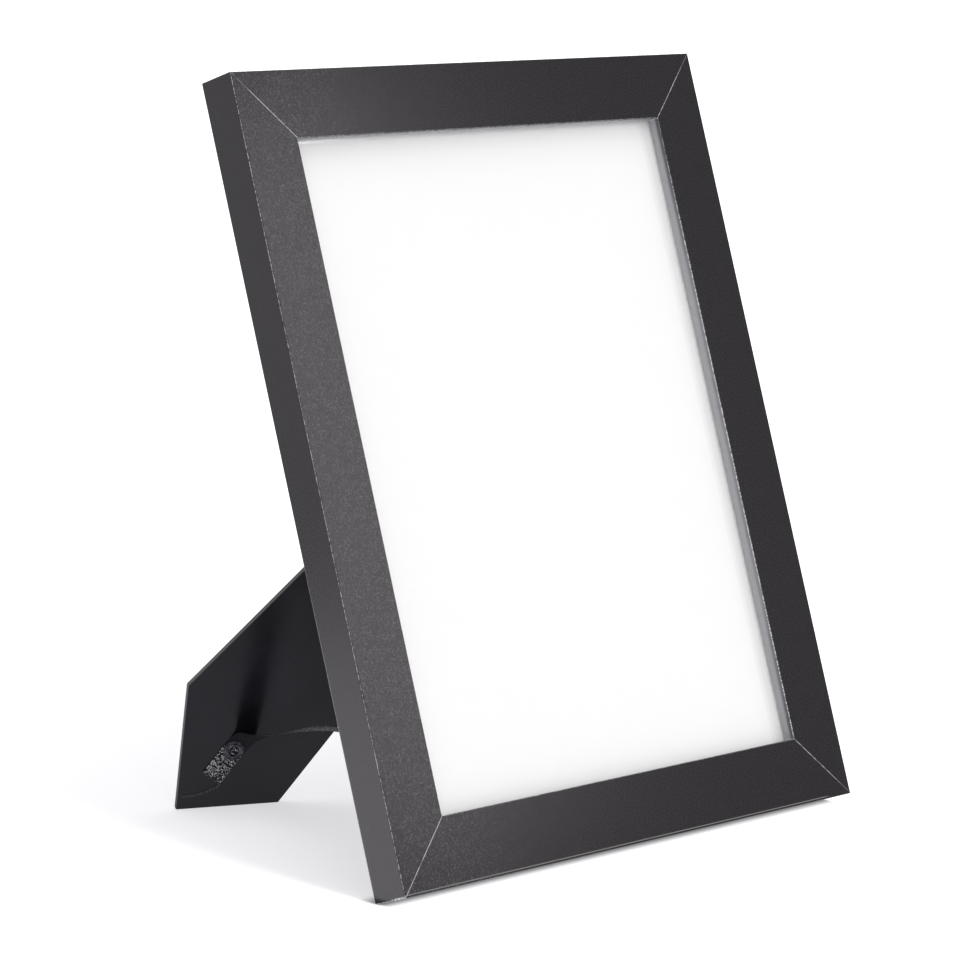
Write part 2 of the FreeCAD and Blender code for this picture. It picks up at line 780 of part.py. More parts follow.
def easel_strut():
    """The picket-shaped strut: its right foot edge lies on the table in portrait."""
    body = new_body("easel_strut")
    outline = new_sketch(body, "outline", "XZ_Plane")
    top = -(knuckle_radius + size.strut_top_gap)
    half_top = 0.5 * size.strut_top_width
    left_reach = apex_reach - half_foot * tangent(size.landscape_foot_angle)
    draw_outline(outline, [
        (-half_top, top),
        (-half_foot, -left_reach),
        (0, -apex_reach),
        (half_foot, -foot_reach(half_foot)),
        (half_top, top),
    ])
    pad(body, outline, size.strut_thickness, towards_back=True)

    def is_top_corner(edge):
        box = edge.BoundBox
        return near(box.ZMin, top.value) and near(box.ZMax, top.value) and near(box.XMin, box.XMax)

    round_edges(body, "top_corners", is_top_corner, size.strut_top_radius)

    holes = new_sketch(body, "holes", "XZ_Plane")
    for step in (-1, 0, 1):
        draw_circle(holes, step * size.hinge_rivet_spread, -size.hinge_rivet_reach,
                    size.hinge_rivet_shank + size.pierce_clearance)
    draw_circle(holes, size.eyelet_side, -size.strut_eyelet_reach,
                size.eyelet_barrel_radius + size.pierce_clearance)
    pocket(body, holes)

    seats = new_sketch(body, "rivet_seats", "XZ_Plane")
    for step in (-1, 0, 1):
        draw_circle(seats, step * size.hinge_rivet_spread, -size.hinge_rivet_reach,
                    size.hinge_rivet_set + size.pierce_clearance)
    pocket(body, seats, size.hinge_rivet_set_thickness, towards_back=True)

    thickness = size.strut_thickness.value

    def is_face_rim(edge):
        on_face = lies_at_depth(edge, 0) or lies_at_depth(edge, thickness)
        return on_face and edge.Length > 2 * size.strut_thickness.value and len(edge.Vertexes) == 2

    round_edges(body, "face_rims", is_face_rim, size.strut_edge_round)
    finish(body, strut_face_placement())


# Eyelets and ribbon

def eyelet(label, stack, placement):
    """A rolled eyelet: flange and rim over the ribbon, barrel through, curl over the washer."""
    body = new_body(label)
    profile = new_sketch(body, "half_profile", "XZ_Plane")
    bore = size.eyelet_barrel_radius - size.eyelet_wall
    rim = bore + size.eyelet_rim_width
    low = -stack
    draw_outline(profile, [
        (bore, size.eyelet_rim_height),
        (rim, size.eyelet_rim_height),
        (rim, size.eyelet_flange_thickness),
        (size.eyelet_flange_radius, size.eyelet_flange_thickness),
        (size.eyelet_flange_radius, 0),
        (size.eyelet_barrel_radius, 0),
        (size.eyelet_barrel_radius, low),
        (size.eyelet_curl_radius, low),
        (size.eyelet_curl_radius, low - size.eyelet_curl_thickness),
        (bore, low - size.eyelet_curl_thickness),
    ])
    feature = body.newObject("PartDesign::Revolution", f"{label}_turned")
    feature.Profile = profile
    feature.ReferenceAxis = (profile, ["V_Axis"])
    doc.recompute()
    top = size.eyelet_rim_height.value
    round_edges(body, "rolled_rim", lambda edge: near(edge.BoundBox.ZMin, top),
                RIM_ROUND_SHARE * size.eyelet_rim_width)
    flange = size.eyelet_flange_thickness.value
    round_edges(body, "flange_edge", lambda edge: near(edge.BoundBox.ZMin, flange)
                and near(edge.BoundBox.ZMax, flange)
                and edge.BoundBox.XMax > size.eyelet_flange_radius.value - size.eyelet_wall.value,
                RIM_ROUND_SHARE * size.eyelet_flange_thickness)
    finish(body, placement)


def washer(label, placement):
    body = new_body(label)
    sketch = new_sketch(body, "ring", "XY_Plane")
    draw_circle(sketch, 0, 0, size.washer_radius)
    draw_circle(sketch, 0, 0, size.eyelet_barrel_radius + size.pierce_clearance)
    pad(body, sketch, size.washer_thickness)
    finish(body, placement)


def eyelets():
    """Each eyelet faces along its own Z, which points out of the ribbon's free side."""
    face_out = Rotation(Vector(1, 0, 0), -90)
    face_in = Rotation(Vector(1, 0, 0), 90)
    side = size.eyelet_side.value

    ribbon_top = size.ribbon_thickness - knuckle_radius
    stack = size.ribbon_thickness + size.backboard_thickness + size.washer_thickness
    board_z = -size.board_eyelet_reach.value
    eyelet("board_eyelet", stack,
           hinge_placement * Placement(Vector(side, ribbon_top.value, board_z), face_out))
    washer_depth = -(knuckle_radius + size.backboard_thickness + size.washer_thickness)
    washer("board_eyelet_washer",
           hinge_placement * Placement(Vector(side, washer_depth.value, board_z), face_out))

    ribbon_top = strut_inner_face - size.ribbon_thickness
    stack = size.ribbon_thickness + size.strut_thickness + size.washer_thickness
    strut_z = -size.strut_eyelet_reach.value
    eyelet("strut_eyelet", stack,
           strut_placement * Placement(Vector(side, ribbon_top.value, strut_z), face_in))
    washer_depth = strut_inner_face + size.strut_thickness
    washer("strut_eyelet_washer",
           strut_placement * Placement(Vector(side, washer_depth.value, strut_z), face_out))


def flat_ribbon(label, near_end, far_end, eyelet_reach, towards_back, placement):
    """A stretch of ribbon lying flat under its eyelet, between two distances from the pin."""
    body = new_body(label)
    sketch = new_sketch(body, "plan", "XZ_Plane")
    half = 0.5 * size.ribbon_width
    middle = size.eyelet_side
    draw_rectangle(sketch, middle - half, -far_end, middle + half, -near_end)
    draw_circle(sketch, middle, -eyelet_reach, size.eyelet_barrel_radius + size.pierce_clearance)
    pad(body, sketch, size.ribbon_thickness, towards_back=towards_back)
    finish(body, placement)


def draw_bent_strip(sketch, first_centre, first_radius, last_centre, last_radius, thick, last_turn):
    """A strip's side view: it starts along the vertical, bends left, runs straight and bends right.

    Both radii are those of the inside of a bend. The second bend ends where its radius stands at
    last_turn from the horizontal axis.
    """
    first = Vector(first_centre[0].value, first_centre[1].value, 0)
    last = Vector(last_centre[0].value, last_centre[1].value, 0)
    between = last - first
    radii = first_radius.value + thick.value + last_radius.value
    heading = math.atan2(between.y, between.x) + math.asin(radii / between.Length)
    half_turn = math.radians(180)

    def arc(centre, radius, start, end):
        circle = Part.Circle(centre, Vector(0, 0, 1), radius.value)
        return sketch.addGeometry(Part.ArcOfCircle(circle, start, end), False)

    faces = []
    for near_radius, far_radius in ((first_radius, last_radius + thick), (first_radius + thick, last_radius)):
        leaving = heading - 0.5 * half_turn
        arriving = heading + 0.5 * half_turn
        bend = arc(first, near_radius, -half_turn, leaving)
        landing = arc(last, far_radius, math.radians(last_turn.value), arriving)
        side = Vector(math.cos(leaving), math.sin(leaving), 0)
        run = sketch.addGeometry(
            Part.LineSegment(first + side * near_radius.value, last - side * far_radius.value), False)
        sketch.addConstraint(Sketcher.Constraint("Tangent", bend, END, run, START))
        sketch.addConstraint(Sketcher.Constraint("Tangent", run, END, landing, END))
        hold_radius(sketch, bend, near_radius)
        hold_radius(sketch, landing, far_radius)
        for element, centre in ((bend, first_centre), (landing, last_centre)):
            hold(sketch, "DistanceX", element, CENTRE, centre[0])
            hold(sketch, "DistanceY", element, CENTRE, centre[1])
        hold(sketch, "DistanceY", bend, START, first_centre[1])
        hold(sketch, "DistanceX", landing, START, last_centre[0] + far_radius * cosine(last_turn))
        faces.append((bend, landing))

    for one, other in zip(*faces):
        points = [sketch.getPoint(element, START) for element in (one, other)]
        edge = sketch.addGeometry(Part.LineSegment(*points), False)
        sketch.addConstraint(Sketcher.Constraint("Coincident", edge, START, one, START))
        sketch.addConstraint(Sketcher.Constraint("Coincident", edge, END, other, START))


def ribbon():
    """One ribbon in three stretches: on the board, free between the panels, on the strut.

    The free stretch leaves each eyelet along its panel and bends off it, so it is a slack S.
    """
    board_lift = size.board_eyelet_reach + size.ribbon_lead
    strut_lift = size.strut_eyelet_reach - size.ribbon_lead
    flat_ribbon("ribbon_board_end", size.board_eyelet_reach - size.ribbon_board_tail, board_lift,
                size.board_eyelet_reach, True,
                hinge_placement * Placement(Vector(0, -knuckle_radius.value, 0), Rotation()))
    flat_ribbon("ribbon_tail", strut_lift, size.strut_eyelet_reach + size.ribbon_tail_length,
                size.strut_eyelet_reach, False, strut_face_placement())

    body = new_body("ribbon_span")
    sketch = new_sketch(body, "side_view", "YZ_Plane")
    thick = size.ribbon_thickness
    board_top = thick - knuckle_radius
    strut_along, strut_out = open_point(strut_lift, strut_inner_face - thick - size.ribbon_strut_bend)
    draw_bent_strip(sketch, (board_top + size.ribbon_board_bend, -board_lift), size.ribbon_board_bend,
                    (strut_out, -strut_along), size.ribbon_strut_bend, thick, size.open_angle)
    pad(body, sketch, size.ribbon_width, symmetric=True)
    finish(body, hinge_placement * Placement(Vector(size.eyelet_side.value, 0, 0), Rotation()))


# Build, check and write

rails()
mitre_nails()
boards()
tab_rivets()
for tab_name, tab_x, tab_z, tab_direction in tab_places():
    turn_tab(tab_name, tab_x, tab_z, tab_direction)
hinge()
hinge_rivets()
easel_strut()
eyelets()
ribbon()
doc.recompute()

for item in doc.Objects:
    if "Invalid" in item.State or "Error" in item.State:
        raise RuntimeError(f"{item.Name} failed: {item.State}")
for name, item in nodes.items():
    if item.Shape.isNull() or not item.Shape.isValid():
        raise RuntimeError(f"{name} has no valid shape")

os.makedirs("parts", exist_ok=True)
for name, item in nodes.items():
    item.Shape.exportStep(os.path.join("parts", f"{name}.step"))
    box = item.Shape.BoundBox
    print(f"{name}: {len(item.Shape.Solids)} solids, {item.Shape.Volume:.1f} mm3,",
          f"X {box.XMin:.1f} to {box.XMax:.1f}, Y {box.YMin:.1f} to {box.YMax:.1f},",
          f"Z {box.ZMin:.2f} to {box.ZMax:.1f}")
print(f"outer size {frame_width.value:.2f} by {frame_height.value:.2f} mm, apex at {apex_reach.value:.2f} mm")
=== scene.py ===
# %% [markdown]
# # An easel back photo frame
# A letter-size picture frame stands in portrait on its open strut. Mitred rails wrapped in charcoal
# foil hold glass, a plain sheet and a backboard, and a black ribbon stops the strut.
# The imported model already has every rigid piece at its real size. This lesson gives each its finish,
# grinds the pane's edges, and then makes the one soft piece, the ribbon, with its frayed ends and a
# loose thread.

# %% Load the model
import bmesh
import bpy
import json
import math
import numpy as np
from mathutils import Matrix, Vector


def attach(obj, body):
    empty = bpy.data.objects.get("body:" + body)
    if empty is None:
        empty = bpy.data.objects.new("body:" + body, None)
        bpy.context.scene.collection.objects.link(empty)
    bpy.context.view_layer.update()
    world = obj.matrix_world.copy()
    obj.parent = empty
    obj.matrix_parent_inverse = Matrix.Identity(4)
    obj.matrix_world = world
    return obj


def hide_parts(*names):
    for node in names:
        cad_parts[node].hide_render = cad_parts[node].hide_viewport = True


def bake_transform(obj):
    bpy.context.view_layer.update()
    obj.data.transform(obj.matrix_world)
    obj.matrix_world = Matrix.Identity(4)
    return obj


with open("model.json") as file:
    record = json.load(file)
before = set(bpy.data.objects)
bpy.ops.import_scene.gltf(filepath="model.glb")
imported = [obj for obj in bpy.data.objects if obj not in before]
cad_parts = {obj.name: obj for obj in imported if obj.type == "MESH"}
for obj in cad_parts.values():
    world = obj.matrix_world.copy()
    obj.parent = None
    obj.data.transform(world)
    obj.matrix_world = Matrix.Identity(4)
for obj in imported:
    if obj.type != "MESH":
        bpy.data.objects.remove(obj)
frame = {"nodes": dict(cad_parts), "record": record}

nodes = frame["nodes"]
scene = bpy.context.scene
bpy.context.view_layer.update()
print("pieces loaded:", len(nodes))

# %% [markdown]
# ## Three sets of directions
# The frame leans back, the hinge is turned on its board and the strut is opened from the hinge. Patterns
# such as a mitre seam or a sawn edge are easier to describe square to the piece that they are on, so
# each of the three gets its own origin and directions.

# %% Directions of the frame, the hinge and the open strut
MM = 0.001
LEAN = math.radians(17.5)
HINGE_TURN = math.radians(39)
OPEN_ANGLE = math.radians(42)
FRAME_WIDTH, FRAME_HEIGHT = 265.55 * MM, 329.05 * MM
OPENING_WIDTH, OPENING_HEIGHT = 209.55 * MM, 273.05 * MM
FRONT_FACE = -18.4 * MM
# The bottom rail's rear corner as if it were sharp. Its rounded edge is what stands on the paper.
REAR_CORNER = Vector((0, -81.62, -0.331)) * MM
PIN_PLACE = Vector((42.5 * MM, -4.4 * MM, 41.5 * MM))
# The open strut's inner face, in millimetres off the pin.
STRUT_FACE = -1.65

frame_turn = Matrix.Rotation(-LEAN, 3, "X")
frame_centre = REAR_CORNER + frame_turn @ Vector((0, 0, FRAME_HEIGHT / 2))
hinge_turn = frame_turn @ Matrix.Rotation(HINGE_TURN, 3, "Y")
hinge_centre = frame_centre + frame_turn @ PIN_PLACE
strut_turn = hinge_turn @ Matrix.Rotation(OPEN_ANGLE, 3, "X")
print("hinge centre, mm:", [round(value / MM, 2) for value in hinge_centre])


def on_frame(x, depth, z):
    """A place in millimetres from the frame's centre: right, back from the rails' back, and up."""
    return frame_centre + frame_turn @ (Vector((x, depth, z)) * MM)


def on_hinge(across, along, out):
    """A place in millimetres: along the pin, down the board from it, and out from the board."""
    return hinge_centre + hinge_turn @ (Vector((across, out, -along)) * MM)


def on_strut(across, reach, lift):
    """A place in millimetres on the strut: along the pin, down from it, and off the inner face."""
    return hinge_centre + strut_turn @ (Vector((across, STRUT_FACE - lift, -reach)) * MM)


# %% [markdown]
# ## Camera
# The photograph was taken from the front left, a little above the frame and from far off, so its
# edges hardly converge. A long lens at the same place gives the same lines.

# %% Camera
def put_in_scene(name, data):
    """An object that puts a mesh, a lamp or a camera into the scene."""
    made = bpy.data.objects.new(name, data)
    scene.collection.objects.link(made)
    return made


camera = put_in_scene("camera", bpy.data.cameras.new("camera"))
camera.data.lens = 154.11
camera.location = (-1.20133, -1.21186, 0.39241)
camera.rotation_euler = [math.radians(angle) for angle in (81.727, -0.1427, -44.8708)]
scene.camera = camera
scene.view_settings.view_transform = "Standard"
print("camera is", round(camera.location.length, 2), "m from the frame")

# %% [markdown]
# ## Helpers for nodes, colour and shapes
# A material is a small graph. A few functions add a node, feed it and do sums with its output. Colours
# are written as on screen and turned to the linear values that the renderer works with.

# %% Node, colour and shape helpers
def give(tree, node, sockets):
    """Set inputs of a node, each to a value or to another node's output."""
    for name, value in sockets.items():
        if isinstance(value, bpy.types.NodeSocket):
            tree.links.new(value, node.inputs[name])
        else:
            node.inputs[name].default_value = value


def add(tree, kind, sockets=None, **settings):
    """Add a node. Sockets are its inputs, and settings are its properties."""
    made = tree.nodes.new(kind)
    for name, value in settings.items():
        setattr(made, name, value)
    give(tree, made, sockets or {})
    return made


def empty_graph(owner):
    """Give a material or the world a node graph with nothing in it yet."""
    owner.use_nodes = True
    owner.node_tree.nodes.clear()
    return owner.node_tree


def linear(colour):
    """Turn a screen colour such as #38363A into linear red, green, blue and full alpha."""
    parts = [int(colour[index:index + 2], 16) / 255 for index in (1, 3, 5)]
    bent = [part / 12.92 if part <= 0.04045 else ((part + 0.055) / 1.055) ** 2.4 for part in parts]
    return (*bent, 1.0)


def start_finish(name):
    """A new material with one surface shader, and the place of each point of the piece."""
    finish = bpy.data.materials.new(name)
    tree = empty_graph(finish)
    surface = add(tree, "ShaderNodeBsdfPrincipled")
    add(tree, "ShaderNodeOutputMaterial", {"Surface": surface.outputs[0]})
    place = add(tree, "ShaderNodeTexCoord").outputs["Object"]
    return finish, tree, surface, place


def calculate(tree, operation, first, second=0.0, third=0.0):
    """One sum on numbers or outputs."""
    sockets = {0: first, 1: second, 2: third}
    return add(tree, "ShaderNodeMath", sockets, operation=operation).outputs[0]


def times(tree, *factors):
    """All the factors multiplied together."""
    product = factors[0]
    for factor in factors[1:]:
        product = calculate(tree, "MULTIPLY", product, factor)
    return product


def minus(tree, first, second):
    """The first less the second."""
    return calculate(tree, "SUBTRACT", first, second)


def unsigned(tree, value):
    """The value without its sign."""
    return calculate(tree, "ABSOLUTE", value)


def most(tree, first, second):
    """The larger of two."""
    return calculate(tree, "MAXIMUM", first, second)


def least(tree, first, second):
    """The smaller of two."""
    return calculate(tree, "MINIMUM", first, second)


def below(tree, value, limit):
    """One where the value is less than the limit, and nought elsewhere."""
    return calculate(tree, "LESS_THAN", value, limit)


def shade_between(tree, amount, low, high):
    """A colour between two, by an amount from nought to one."""
    made = add(tree, "ShaderNodeMix", {0: amount}, data_type="RGBA")
    give(tree, made, {6: low, 7: high})
    return made.outputs[2]


def fade(tree, value, start, end, low=0.0, high=1.0):
    """Run smoothly from low to high as the value goes from start to end."""
    sockets = {"Value": value, "From Min": start, "From Max": end, "To Min": low, "To Max": high}
    return add(tree, "ShaderNodeMapRange", sockets, interpolation_type="SMOOTHSTEP").outputs[0]


def grain(tree, place, size_mm, detail=2.0, roughness=0.5, distortion=0.0):
    """Cloudy noise whose clouds are about the given size in millimetres."""
    sockets = {"Vector": place, "Scale": 1 / (size_mm * MM), "Detail": detail,
               "Roughness": roughness, "Distortion": distortion}
    return add(tree, "ShaderNodeTexNoise", sockets).outputs["Fac"]


def relief(tree, surface, height, depth_mm, strength=1.0):
    """Press a height into the surface's shading."""
    sockets = {"Strength": strength, "Distance": depth_mm * MM, "Height": height}
    bump = add(tree, "ShaderNodeBump", sockets)
    give(tree, surface, {"Normal": bump.outputs["Normal"]})


def square_to(tree, place, centre, turn):
    """The same place, measured from a piece's own centre along its own directions."""
    sockets = {"Vector": place, "Location": centre, "Rotation": turn.to_euler()}
    own = add(tree, "ShaderNodeMapping", sockets, vector_type="TEXTURE").outputs[0]
    return own, add(tree, "ShaderNodeSeparateXYZ", {0: own}).outputs


def length_of(tree, first, second):
    """How long a flat step is, from its two parts."""
    step = add(tree, "ShaderNodeCombineXYZ", {0: first, 1: second}).outputs[0]
    return add(tree, "ShaderNodeVectorMath", {0: step}, operation="LENGTH").outputs["Value"]


def finished_shape(name, shape, finish):
    """An object of the scene made from a drawn shape, with its finish."""
    mesh = bpy.data.meshes.new(name)
    shape.to_mesh(mesh)
    shape.free()
    mesh.materials.append(finish)
    return put_in_scene(name, mesh)


print("charcoal as the renderer sees it:", [round(part, 3) for part in linear("#38363A")[:3]])

# %% [markdown]
# ## Floor and world
# A product photograph stands on white paper that runs up behind it, under large soft lamps. The floor
# here is a wide white disc. Its own white shows only to the camera, in gloss and through glass, so
# the paper looks white while the frame's soft shadow stays and no extra light falls on the frame. That
# white is held back in the narrow gap under the front rail as a painted contact shadow, since no light gets
# in there.

# %% Floor and world
PAPER_GLOW = 0.58
PAPER_RADIUS = 40
WORLD_LIGHT = 0.50
# The painted shade in the gap under the front rail, in metres: where it begins and is full at its front,
# its back and its two sides, and how deep it is.
GAP_FRONT, GAP_BACK, GAP_SIDES = (-0.0915, -0.0830), (-0.070, -0.080), (0.137, 0.131)
CONTACT_SHADE = 0.80


def seen_directly(tree):
    """One for rays from the camera, in gloss and through glass; nought for light on the way."""
    path = add(tree, "ShaderNodeLightPath").outputs
    return most(tree, most(tree, path["Is Camera Ray"], path["Is Glossy Ray"]), path["Is Transmission Ray"])


paper = bpy.data.materials.new("white_background_paper")
tree = empty_graph(paper)
on_paper = add(tree, "ShaderNodeTexCoord").outputs["Object"]
paper_x, paper_y, _ = add(tree, "ShaderNodeSeparateXYZ", {0: on_paper}).outputs
# Painted shade: the paper's glow is dimmed in the gap under the front rail.
under_rail = times(tree, fade(tree, paper_y, *GAP_FRONT), fade(tree, paper_y, *GAP_BACK),
                   fade(tree, unsigned(tree, paper_x), *GAP_SIDES))
open_paper = minus(tree, 1.0, times(tree, under_rail, CONTACT_SHADE))
glow = times(tree, seen_directly(tree), PAPER_GLOW, open_paper)
matt = add(tree, "ShaderNodeBsdfDiffuse", {"Color": linear("#BCBCBE")})
shine = add(tree, "ShaderNodeEmission", {"Color": linear("#FDFDFF"), "Strength": glow})
both = add(tree, "ShaderNodeAddShader", {0: matt.outputs[0], 1: shine.outputs[0]})
add(tree, "ShaderNodeOutputMaterial", {"Surface": both.outputs[0]})

disc = bmesh.new()
bmesh.ops.create_circle(disc, cap_ends=True, segments=96, radius=PAPER_RADIUS)
floor = finished_shape("floor", disc, paper)

world = bpy.data.worlds.new("white_studio")
tree = empty_graph(world)
strength = fade(tree, seen_directly(tree), 0.0, 1.0, WORLD_LIGHT, 1.0)
sky = add(tree, "ShaderNodeBackground", {"Color": (1, 1, 1, 1), "Strength": strength})
add(tree, "ShaderNodeOutputWorld", {"Surface": sky.outputs[0]})
scene.world = world
print("floor and world made")

# %% [markdown]
# ## Lamps
# Two broad, distant lamps light everything. Three small ones show only as gloss on the rails: a strip
# that draws the sheen down the left rail's face, and two cards that lighten its outer side. The last
# one lights only the paper, so that the shadow behind the frame is as pale as in the photograph.

# %% Lamps
FRONT_STRIP_PLACE = (0.346, -0.518, 0.376)
FRONT_STRIP_POWER = 1.9
FRONT_STRIP_ROLL = -10
SIDE_CARD_POWER = 2.3
FLOOR_CARD_POWER = 3.6
FLOOR_LIFT = 7.0
ORIGIN = (0, 0, 0)


def lamp(name, kind, place, aim, **settings):
    """A lamp at one place, turned towards another."""
    made = put_in_scene(name, bpy.data.lights.new(name, kind))
    for setting, value in settings.items():
        setattr(made.data, setting, value)
    made.location = place
    made.rotation_euler = (Vector(aim) - Vector(place)).to_track_quat("-Z", "Y").to_euler()
    return made


lamp("overhead_softbox", "SUN", (0.10, -0.20, 1.0), ORIGIN, energy=1.1, angle=math.radians(50))
lamp("front_softbox", "SUN", (-0.50, -1.0, 0.55), ORIGIN, energy=1.10, angle=math.radians(60))
front_strip = lamp("front_strip", "AREA", FRONT_STRIP_PLACE, (-0.125, -0.045, 0.165), shape="RECTANGLE",
                   size=0.10, size_y=0.45, energy=FRONT_STRIP_POWER)
front_strip.rotation_euler.rotate_axis("Z", math.radians(FRONT_STRIP_ROLL))
side_card = lamp("side_card", "AREA", (-0.80, 0.68, 0.20), (-0.133, -0.05, 0.20), shape="RECTANGLE",
                 size=0.8, size_y=0.7, energy=SIDE_CARD_POWER)
floor_card = lamp("floor_card", "AREA", (-0.385, 0.12, 0.0015), (-0.385, 0.12, 1.0), shape="RECTANGLE",
                  size=0.5, size_y=0.5, energy=FLOOR_CARD_POWER)
rails_only = bpy.data.collections.new("seen_by_the_gloss_lamps")
for name in ("left_rail", "right_rail", "top_rail", "bottom_rail"):
    rails_only.objects.link(nodes[name])
for gloss_lamp in (front_strip, side_card, floor_card):
    gloss_lamp.visible_diffuse = False
    gloss_lamp.visible_camera = False
    gloss_lamp.light_linking.receiver_collection = rails_only
paper_lamp = lamp("paper_lamp", "SUN", (0.02, -1.0, 0.50), ORIGIN, energy=FLOOR_LIFT,
                  angle=math.radians(22))
paper_only = bpy.data.collections.new("lit_by_the_paper_lamp")
paper_only.objects.link(floor)
paper_lamp.light_linking.receiver_collection = paper_only

# %% [markdown]
# ## Foil on the rails
# The rails are fibreboard wrapped in printed charcoal foil, rolled with a fine leathery grain. The foil
# is satin, so a soft light shows as a broad sheen that the grain breaks into specks. It is cut at
# the mitres and rubs through on the sharp edges, where its pale core shows as a thin broken line; that
# line is also a painted highlight. The foot carries painted highlights too, the front face painted
# sparkle, and the lip a painted reflection of the white sheet.
# All of it is measured square to the frame, so one material serves the four rails.

# %% Rail foil
FOIL_ROUGHNESS, ROUGHNESS_SWING = 0.28, 0.05
FAINT = 0.30
# How far from an edge its wear begins and is full, in metres; on the outer edge and the lip that line is
# also a painted highlight.
SEAM_WEAR = (0.20 * MM, 0.06 * MM)
OUTER_WEAR_AND_HIGHLIGHT = (0.31 * MM, 0.10 * MM)
LIP_WEAR_AND_HIGHLIGHT = (0.42 * MM, 0.16 * MM)

foil, tree, surface, place = start_finish("charcoal_grained_foil")
own, (x, depth, z) = square_to(tree, place, frame_centre, frame_turn)
side = unsigned(tree, x)
height = unsigned(tree, z)
from_side = minus(tree, FRAME_WIDTH / 2, side)
from_end = minus(tree, FRAME_HEIGHT / 2, height)
from_opening = most(tree, minus(tree, side, OPENING_WIDTH / 2), minus(tree, height, OPENING_HEIGHT / 2))
above_foot = calculate(tree, "ADD", z, FRAME_HEIGHT / 2)
behind_face = minus(tree, depth, FRONT_FACE)

# The mitre seams, which fade towards the outer corners apart from the low left one.
seam = fade(tree, unsigned(tree, minus(tree, from_side, from_end)), *SEAM_WEAR)
seam_breaks = fade(tree, grain(tree, own, 1.6), 0.32, 0.52, 0.35, 1.0)
low_left = times(tree, below(tree, x, 0.0), below(tree, z, 0.0))
seam_whole = most(tree, fade(tree, from_side, 3 * MM, 13 * MM, FAINT, 1.0), low_left)
seam = times(tree, seam, seam_breaks, seam_whole)

# The outer edge and the lip edge, partly worn foil and partly a painted highlight; the lip's line is
# fainter near its top and at its foot.
outer = least(tree, from_side, from_end)
outer_edge = fade(tree, most(tree, outer, behind_face), *OUTER_WEAR_AND_HIGHLIGHT)
lip_edge = fade(tree, most(tree, from_opening, behind_face), *LIP_WEAR_AND_HIGHLIGHT)
lip_wear_and_highlight = least(tree, fade(tree, z, 128 * MM, 88 * MM, FAINT, 1.0),
                 fade(tree, z, -136 * MM, -134 * MM, FAINT, 1.0))
edge_wear_and_highlight = most(tree, outer_edge, times(tree, lip_edge, lip_wear_and_highlight))
edge_wear_and_highlight = times(tree, edge_wear_and_highlight, fade(tree, above_foot, 0.8 * MM, 1.6 * MM))
beads = fade(tree, grain(tree, own, 0.6), 0.42, 0.58, 0.12, 1.0)
pale = most(tree, seam, times(tree, edge_wear_and_highlight, beads))

# A painted highlight at the foot of the left rail's outer face, and a grey painted highlight line
# along the foot of the front face, where its lower edge catches light off the floor.
foot_corner_highlight = times(tree, fade(tree, above_foot, 0.9 * MM, 0.5 * MM),
                    fade(tree, behind_face, 9 * MM, 5 * MM),
                    below(tree, x, 0.4 * MM - FRAME_WIDTH / 2))
pale = most(tree, pale, times(tree, foot_corner_highlight, beads))
foot_highlight_line = unsigned(tree, minus(tree, above_foot, 1.00 * MM))
foot_highlight_line = times(tree, fade(tree, foot_highlight_line, 0.28 * MM, 0.10 * MM), fade(tree, x, 120 * MM, 115 * MM),
                  below(tree, behind_face, 0.5 * MM))

# The printed colour, with painted sparkle: pale specks on the front face only, stronger at the left,
# where the sheen falls. The lip gets a painted reflection of the white sheet, palest at mid height and deeper
# in.
clouds = grain(tree, own, 6.0, detail=3.0)
print_and_painted_light = shade_between(tree, clouds, linear("#1A181B"), linear("#201E21"))
specks = times(tree, fade(tree, grain(tree, own, 0.6), 0.52, 0.67),
               fade(tree, behind_face, 0.4 * MM, 0.2 * MM),
               fade(tree, x, -104 * MM, -50 * MM, 1.0, 0.08))
print_and_painted_light = shade_between(tree, specks, print_and_painted_light, linear("#4C4A4D"))
# Painted reflection of the white sheet on the lip: palest at mid height and deeper in.
lip_light_mid_height = times(tree, fade(tree, z, 128 * MM, 50 * MM), fade(tree, z, -136 * MM, -70 * MM))
lip_painted_reflection = shade_between(tree, lip_light_mid_height, linear("#57575D"), linear("#808084"))
lip_reflection_deeper = fade(tree, behind_face, 0.8 * MM, 3.0 * MM)
lip_painted_reflection = shade_between(tree, lip_reflection_deeper, lip_painted_reflection, linear("#A0A0A4"))
on_lip = below(tree, from_opening, 0.1 * MM)
print_and_painted_light = shade_between(tree, on_lip, print_and_painted_light, lip_painted_reflection)
print_and_painted_light = shade_between(tree, foot_highlight_line, print_and_painted_light, linear("#757471"))

rough = fade(tree, grain(tree, own, 0.8), 0.35, 0.65,
             FOIL_ROUGHNESS - ROUGHNESS_SWING, FOIL_ROUGHNESS + ROUGHNESS_SWING)
give(tree, surface, {
    "Base Color": shade_between(tree, pale, print_and_painted_light, linear("#E2E1E3")),
    "Roughness": rough,
    "Specular IOR Level": fade(tree, grain(tree, own, 0.45, detail=1.0), 0.34, 0.66, 0.104, 0.140),
    "Specular Tint": linear("#FFF9FD"),
})
pebbles = grain(tree, own, 0.5, distortion=0.6)
relief(tree, surface, minus(tree, pebbles, times(tree, seam, 0.8)), 0.02, 0.4)
print("foil:", len(tree.nodes), "nodes")

# %% [markdown]
# ## Glass and the blank sheet
# Float glass is clear with a green-grey edge. A solid pane would keep lamplight off the paper, so light
# on its way from a lamp passes straight through, and the eye still gets the gloss. The sheet behind it
# is plain uncoated paper, bright white with a faint tooth.

